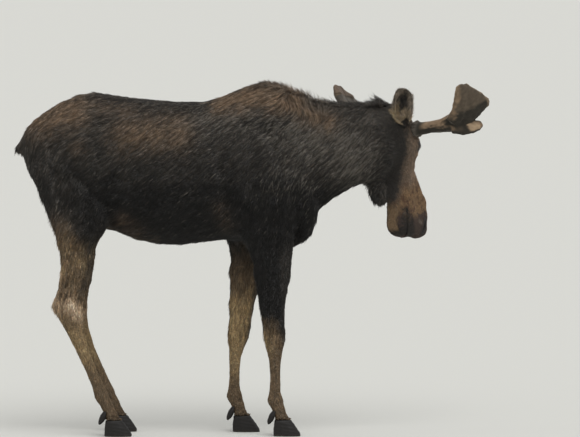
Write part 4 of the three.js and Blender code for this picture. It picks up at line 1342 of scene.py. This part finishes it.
def material(name):
    """The finish of that name, in the marking's colour unless it has one of its own."""
    roughness, mottling, relief, values = FINISHES[name]
    made = bpy.data.materials.new(name)
    made.use_nodes = True
    nodes, links = made.node_tree.nodes, made.node_tree.links
    shader = nodes["Principled BSDF"]
    for socket, value in {"Roughness": roughness, **values}.items():
        shader.inputs[socket].default_value = value

    def add(kind, values, **linked):
        node = nodes.new("ShaderNode" + kind)
        for socket, value in values.items():
            node.inputs[socket].default_value = value
        for socket, source in linked.items():
            links.new(source, node.inputs[socket])
        return node

    if "Base Color" in values:
        return made
    mark = add("VertexColor", {})
    mark.layer_name = COLOUR_LAYER
    colour = mark.outputs["Color"]
    if mottling:
        scale, low, high = mottling
        place = add("TexCoord", {}).outputs["Object"]
        uneven = add("TexNoise", {"Scale": scale, "Detail": 4.0}, Vector=place)
        level = add("MapRange", {"To Min": low, "To Max": high}, Value=uneven.outputs["Fac"])
        product = add("VectorMath", {})
        product.operation = "SCALE"
        links.new(colour, product.inputs[0])
        links.new(level.outputs["Result"], product.inputs["Scale"])
        colour = product.outputs["Vector"]
    links.new(colour, shader.inputs["Base Color"])
    if relief:
        scale, detail, strength, height, drawn = relief
        if drawn:
            place = add("Mapping", {"Scale": drawn}, Vector=place).outputs["Vector"]
        grain = add("TexNoise", {"Scale": scale, "Detail": detail}, Vector=place)
        bump = add("Bump", {"Strength": strength, "Distance": height}, Height=grain.outputs["Fac"])
        links.new(bump.outputs["Normal"], shader.inputs["Normal"])
    return made


def dressed(piece, finish, slot, *nodes):
    """Gives a piece its material and its body, and hides the nodes it stands for. The slot is not used."""
    piece.data.materials.clear()
    piece.data.materials.append(finish)
    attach(piece, "root")
    if nodes:
        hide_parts(*nodes)
    return piece


# ---- Eyes ----

IRIS = np.array((0.040, 0.018, 0.008))
IRIS_EDGE = np.array((0.012, 0.006, 0.004))
PUPIL = np.array((0.002, 0.002, 0.003))
EYE_WHITE = np.array((0.085, 0.050, 0.038))
IRIS_RADIUS = 0.0145
PUPIL_HALF = (0.0085, 0.0048)
CORNEA = 0.0014  # how far the clear front of the eye stands out
EYE_GAP = 0.0001


def make_eye(side):
    piece = ball(f"eyeball_{side}", EYE_AT * MIRROR[side], EYE_RADIUS - EYE_GAP, 40, 64)
    surface = Surface(piece)
    offset = (to_head(surface.points) - EYE_AT * MIRROR[side]) * MIRROR[side]
    along, across, ahead = offset @ SLIT, offset @ LIFT, offset @ GAZE
    reach = np.where(ahead > 0, np.hypot(along, across), 1.0)
    surface.push(CORNEA * ramp(reach, IRIS_RADIUS, 0.4 * IRIS_RADIUS))
    turn = np.arctan2(across, along)
    spokes = 0.85 + 0.25 * np.sin(37 * turn) * np.sin(61 * turn + 1)
    colours = painted(
        plain(IRIS, reach) * spokes[:, None],
        (IRIS_EDGE, ramp(reach, 0.78 * IRIS_RADIUS, 0.97 * IRIS_RADIUS)),
        (EYE_WHITE, ramp(reach, 0.98 * IRIS_RADIUS, 1.12 * IRIS_RADIUS)),
        (PUPIL, ramp(np.hypot(along / PUPIL_HALF[0], across / PUPIL_HALF[1]), 1.08, 0.94)),
    )
    set_colours(piece.data, colours)
    return piece


# ---- Antlers in velvet ----

VELVET = np.array((0.088, 0.068, 0.048))
# Dark velvet, also laid on as painted shade beneath the beam and the palm.
VELVET_DARK_AND_SHADE = np.array((0.024, 0.021, 0.016))
VELVET_WARM = np.array((0.250, 0.172, 0.108))
VELVET_RIM = np.array((0.270, 0.196, 0.125))
VELVET_LEFT = np.array((0.118, 0.085, 0.064))
VELVET_GREY = np.array((0.084, 0.077, 0.068))
BURR_GREY = np.array((0.082, 0.070, 0.057))
ANTLER_VOXEL = 0.0040
ANTLER_GROW = 0.0012
FORK_FILLET = 0.014  # the web in the forks of beam, palm and tine
DROOP = {"left": 0.12, "right": 0.0}  # the left antler hangs a little lower
REACH = {"left": 0.9, "right": 1.0}  # and reaches less far out


def hung(side, place):
    """A place on a left antler in the head's frame, moved as that side's antler hangs."""
    x, y, z = place
    return np.array((x + DROOP[side] * y, BURR[1] + REACH[side] * (y - BURR[1]), z))


def fork_fillet(surface, side):
    """How wide the web is: none at the burr, most where beam, palm and tine meet, little at the tips."""
    x, y, z = to_head(surface.points).T
    return FORK_FILLET * ramp(SIDES[side] * y - BURR[1], 0.03, 0.09) * (1 - 0.9 * ramp(z, 0.105, 0.135))


def make_antler(side):
    """Beam, palm and tine as one body, with a knobbly burr, veins and a rounded pale rim."""
    nodes = [f"antler_{side}_{part}" for part in ("beam", "palm", "tine")]
    piece = nodes_joined(f"antler_{side}", nodes, ANTLER_GROW)
    remeshed(piece, ANTLER_VOXEL)
    surface = Surface(piece)
    surface.push(fork_fillet(surface, side))
    remeshed(piece, ANTLER_VOXEL)
    surface = Surface(piece)
    surface.push(-fork_fillet(surface, side))
    surface.fair(12)
    surface.soften(3)
    surface = Surface(piece)
    burr = hung(side, BURR)
    head = to_head(surface.points) * MIRROR[side]
    on_burr = hill(head[:, 1], burr[1], 0.013) * (np.linalg.norm(head - burr, axis=1) < 0.07)
    around = np.arctan2(head[:, 2] - burr[2], head[:, 0] - burr[0])
    knobs = 0.5 + 0.5 * np.sin(11 * around + 2.0 * np.sin(3 * around))
    lumps = surface.patches(10)
    veins = ramp(np.abs(surface.patches(22)), 0.12, 0.0)
    rim = convex(surface)
    surface.push(0.0014 + on_burr * (0.0060 * knobs + 0.0025 * lumps) + 0.0008 * lumps - 0.0010 * veins)
    surface.push(0.0040 * surface.spread(rim, 4) * ramp(head[:, 1] - burr[1], 0.20, 0.24))
    surface.push(edge_swell(surface, side))
    set_colours(piece.data, antler_colours(surface, side, head, on_burr) * (1 + 0.16 * lumps[:, None]))
    return piece, nodes


# Where an antler is a little fuller: places on the left one, how wide, and how much.
SWELLS = [
    ([(0.110, 0.245, 0.064), (0.112, 0.292, 0.072)], 0.022, 0.007),  # under the beam, before the tine
    ([(0.112, 0.275, 0.068), (0.118, 0.318, 0.080)], 0.018, 0.008),
    ([(-0.10, 0.408, 0.060), (-0.02, 0.372, 0.058)], 0.022, 0.005),  # the palm's rear edge
    ([(0.004, 0.452, 0.232)], 0.026, 0.013),  # its front tip
]
# Where the left antler alone is fuller, as it hangs: its palm's rear edge and its front corner.
LEFT_SWELLS = [
    ([(-0.045, 0.385, 0.062), (0.005, 0.375, 0.066)], 0.028, 0.009),
    ([(-0.012, 0.370, 0.158)], 0.020, 0.014),
]


def edge_swell(surface, side):
    """How much fuller than its solids an antler is."""
    head = to_head(surface.points) * MIRROR[side]
    swells = [([hung(side, place) for place in line], width, most) for line, width, most in SWELLS]
    swell = sum(most * near(head, line, width) for line, width, most in swells)
    if side == "left":
        swell = swell + sum(most * near(head, line, width) for line, width, most in LEFT_SWELLS)
    return swell


def convex(surface):
    """1 on the antler's rims and 0 on its faces."""
    curve = ((surface.points - surface.means(surface.points)) * surface.normals).sum(1)
    return ramp(surface.spread(curve, 6), 0.00014, 0.00042)


def antler_colours(surface, side, head, on_burr):
    """Warm tan on top of the beam and up the palm's rear edge, dark beneath, grey-brown on the faces."""
    rim = convex(surface)
    x, z, out = head[:, 0], head[:, 2], head[:, 1] - hung(side, BURR)[1]
    uneven = 0.008 * surface.patches(40) + 0.004 * surface.patches(6)
    # Upward faces are warm and light: the velvet's tan and painted light from above.
    lit_from_above = ramp((surface.normals @ FACE)[:, 0] + 8 * uneven, 0.15, -0.50)
    on_palm = ramp(out, 0.16, 0.25)
    # Beneath the beam and the palm's lower edge the dark is partly painted shade.
    beneath = ramp(x + 0.27 * (z - 0.064) + uneven, 0.020, 0.046)
    sweep = ramp(z + uneven, 0.084, 0.064) * ramp(x + uneven, 0.065, 0.035)
    sweep = sweep * (1 - 0.4 * ramp(x, -0.02, -0.09))
    warm = np.maximum(lit_from_above * (1 - on_palm) * ramp(out, 0.02, 0.06), 0.9 * sweep * on_palm)
    edge = rim * ramp(out, 0.18, 0.25) * ramp(x, 0.035, 0.015) * (1 - 0.35 * ramp(z, 0.165, 0.205))
    # The lobe's warm top and its paler spot are partly painted light from above.
    lobe = ramp(z + uneven, 0.128, 0.146) * ramp(x + uneven, 0.086, 0.102) * ramp(lit_from_above, 0.05, 0.4)
    # Off the palm and beneath it the velvet is dark and painted shade; upward faces get the warm tan over
    # it.
    layers = [
        (VELVET_DARK_AND_SHADE, np.maximum(0.95 * beneath, 1 - on_palm)),
        (VELVET_WARM, 0.85 * warm),
        (VELVET_RIM, 0.7 * edge),
        (VELVET_WARM, 0.8 * lobe),
        (VELVET_RIM * 1.15, lobe * ramp(z + uneven, 0.188, 0.176) * ramp(x, 0.136, 0.124)),
    ]
    if side == "left":
        level = x - 0.446 * z + 0.077 + 0.5 * uneven  # from the dark line across its palm
        palm = on_palm * ramp(x, 0.030, 0.015)
        layers += [
            (VELVET_LEFT * (1 + 30 * uneven[:, None]), 0.85 * palm * ramp(level, 0.0, -0.006)),
            (VELVET_GREY, 0.9 * palm * ramp(level, 0.004, 0.012)),
            (VELVET_DARK_AND_SHADE, 0.8 * palm * hill(level, 0.002, 0.004)),
        ]
    return painted(plain(VELVET, head), *layers, (BURR_GREY * (1 + 20 * uneven[:, None]), 1.3 * on_burr))


# ---- Hooves ----

HORN = np.array((0.012, 0.0105, 0.0095))
HORN_WORN = np.array((0.045, 0.037, 0.029))
HORN_VOXEL = {"hoof": 0.0036, "dewclaw": 0.0026}
RING_HEIGHT = {"hoof": 0.0004, "dewclaw": 0.0}
RING_LENGTH = 0.017
HORN_LUMPS = 0.0003
SOLE = 0.001  # what lies below this is the sole, and a little more of its edge is left smooth
SOLE_EDGE = 0.004


def make_horn(node):
    """One claw: its solid made fine and rounded, with growth rings, and its sole kept level."""
    part = node.split("_")[2]
    piece = nodes_joined(node.replace("hoof", "claw").replace("dewclaw", "dewhorn"), [node], 0.0)
    remeshed(piece, HORN_VOXEL[part])
    surface = Surface(piece)
    surface.soften(10, np.where(surface.points[:, 2] < SOLE, 0.0, 0.5))
    points, height = surface.points, surface.points[:, 2]
    rings = np.sin(height * 2 * np.pi / RING_LENGTH + 3 * points[:, 0] / 0.05)
    relief = RING_HEIGHT[part] * rings + HORN_LUMPS * surface.patches(14)
    surface.push(np.where(height > SOLE_EDGE, relief, 0))
    surface.points[:, 2] = np.maximum(surface.points[:, 2], 0)
    surface.write()
    worn = ramp(height, 0.016, 0.0) * (0.6 + 0.4 * surface.patches(8))
    set_colours(piece.data, blend(plain(HORN, points), HORN_WORN, worn))
    return piece


# ---- Assembly ----

SKIN_SHADE = 0.85  # the skin is a little darker than the hair over it

finishes = {name: material(name) for name in FINISHES}
skin = make_skin()
coat = Coat(skin)
set_colours(skin.data, coat.markings * SKIN_SHADE)
dressed(skin, finishes["coat_skin"], "coat_body", *FLESH_NODES)
for piece in [*lay_coat(coat), make_bristles(coat)]:
    piece.data.materials.append(finishes["coat_hair"])
    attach(piece, "root")
for side in SIDES:
    dressed(make_eye(side), finishes["wet_eye"], "eye", f"eye_{side}")
    antler, antler_nodes = make_antler(side)
    dressed(antler, finishes["velvet"], "velvet", *antler_nodes)
for node in HORN_NODES:
    dressed(make_horn(node), finishes["horn"], "hoof_horn", node)


# ---- Stage, light and camera ----

FLOOR_REACH = 300.0
SKY_STRENGTH = 0.62
SUN_STRENGTH = 1.45
SUN_SPREAD = math.radians(50)
SUN_TURN = (math.radians(35), math.radians(12), 0)
CAMERA_TILT = math.radians(4)
CAMERA_AWAY = 45.0
VIEW_WIDTH = 2.9
VIEW_MIDDLE = np.array((0.1825, 0.0, 1.0801))
SENSOR = 36.0


def make_floor():
    corners = FLOOR_REACH * np.array([(-1, -1, 0), (1, -1, 0), (1, 1, 0), (-1, 1, 0)]) - HOME
    corners[:, 2] = 0
    floor = build("floor", corners, np.array([[0, 1, 2, 3]]))
    floor.data.materials.append(finishes["floor"])


def make_light():
    world = bpy.data.worlds.new("sky")
    bpy.context.scene.world = world
    world.use_nodes = True
    background = world.node_tree.nodes["Background"]
    background.inputs["Color"].default_value = (1, 1, 1, 1)
    background.inputs["Strength"].default_value = SKY_STRENGTH
    sun = bpy.data.lights.new("sun", "SUN")
    sun.energy = SUN_STRENGTH
    sun.angle = SUN_SPREAD
    lamp = bpy.data.objects.new("sun", sun)
    bpy.context.collection.objects.link(lamp)
    lamp.rotation_euler = SUN_TURN


def make_camera():
    lens = bpy.data.cameras.new("camera")
    lens.sensor_width = SENSOR
    lens.lens = SENSOR * CAMERA_AWAY / VIEW_WIDTH
    lens.clip_end = 1000
    camera = bpy.data.objects.new("camera", lens)
    bpy.context.collection.objects.link(camera)
    look = Vector((0, math.cos(CAMERA_TILT), -math.sin(CAMERA_TILT)))
    camera.location = Vector(VIEW_MIDDLE + HOME * (1, 1, 0)) - look * CAMERA_AWAY
    camera.rotation_euler = look.to_track_quat("-Z", "Y").to_euler()
    bpy.context.scene.camera = camera


make_floor()
make_light()
make_camera()
bpy.context.scene.view_settings.view_transform = "Standard"
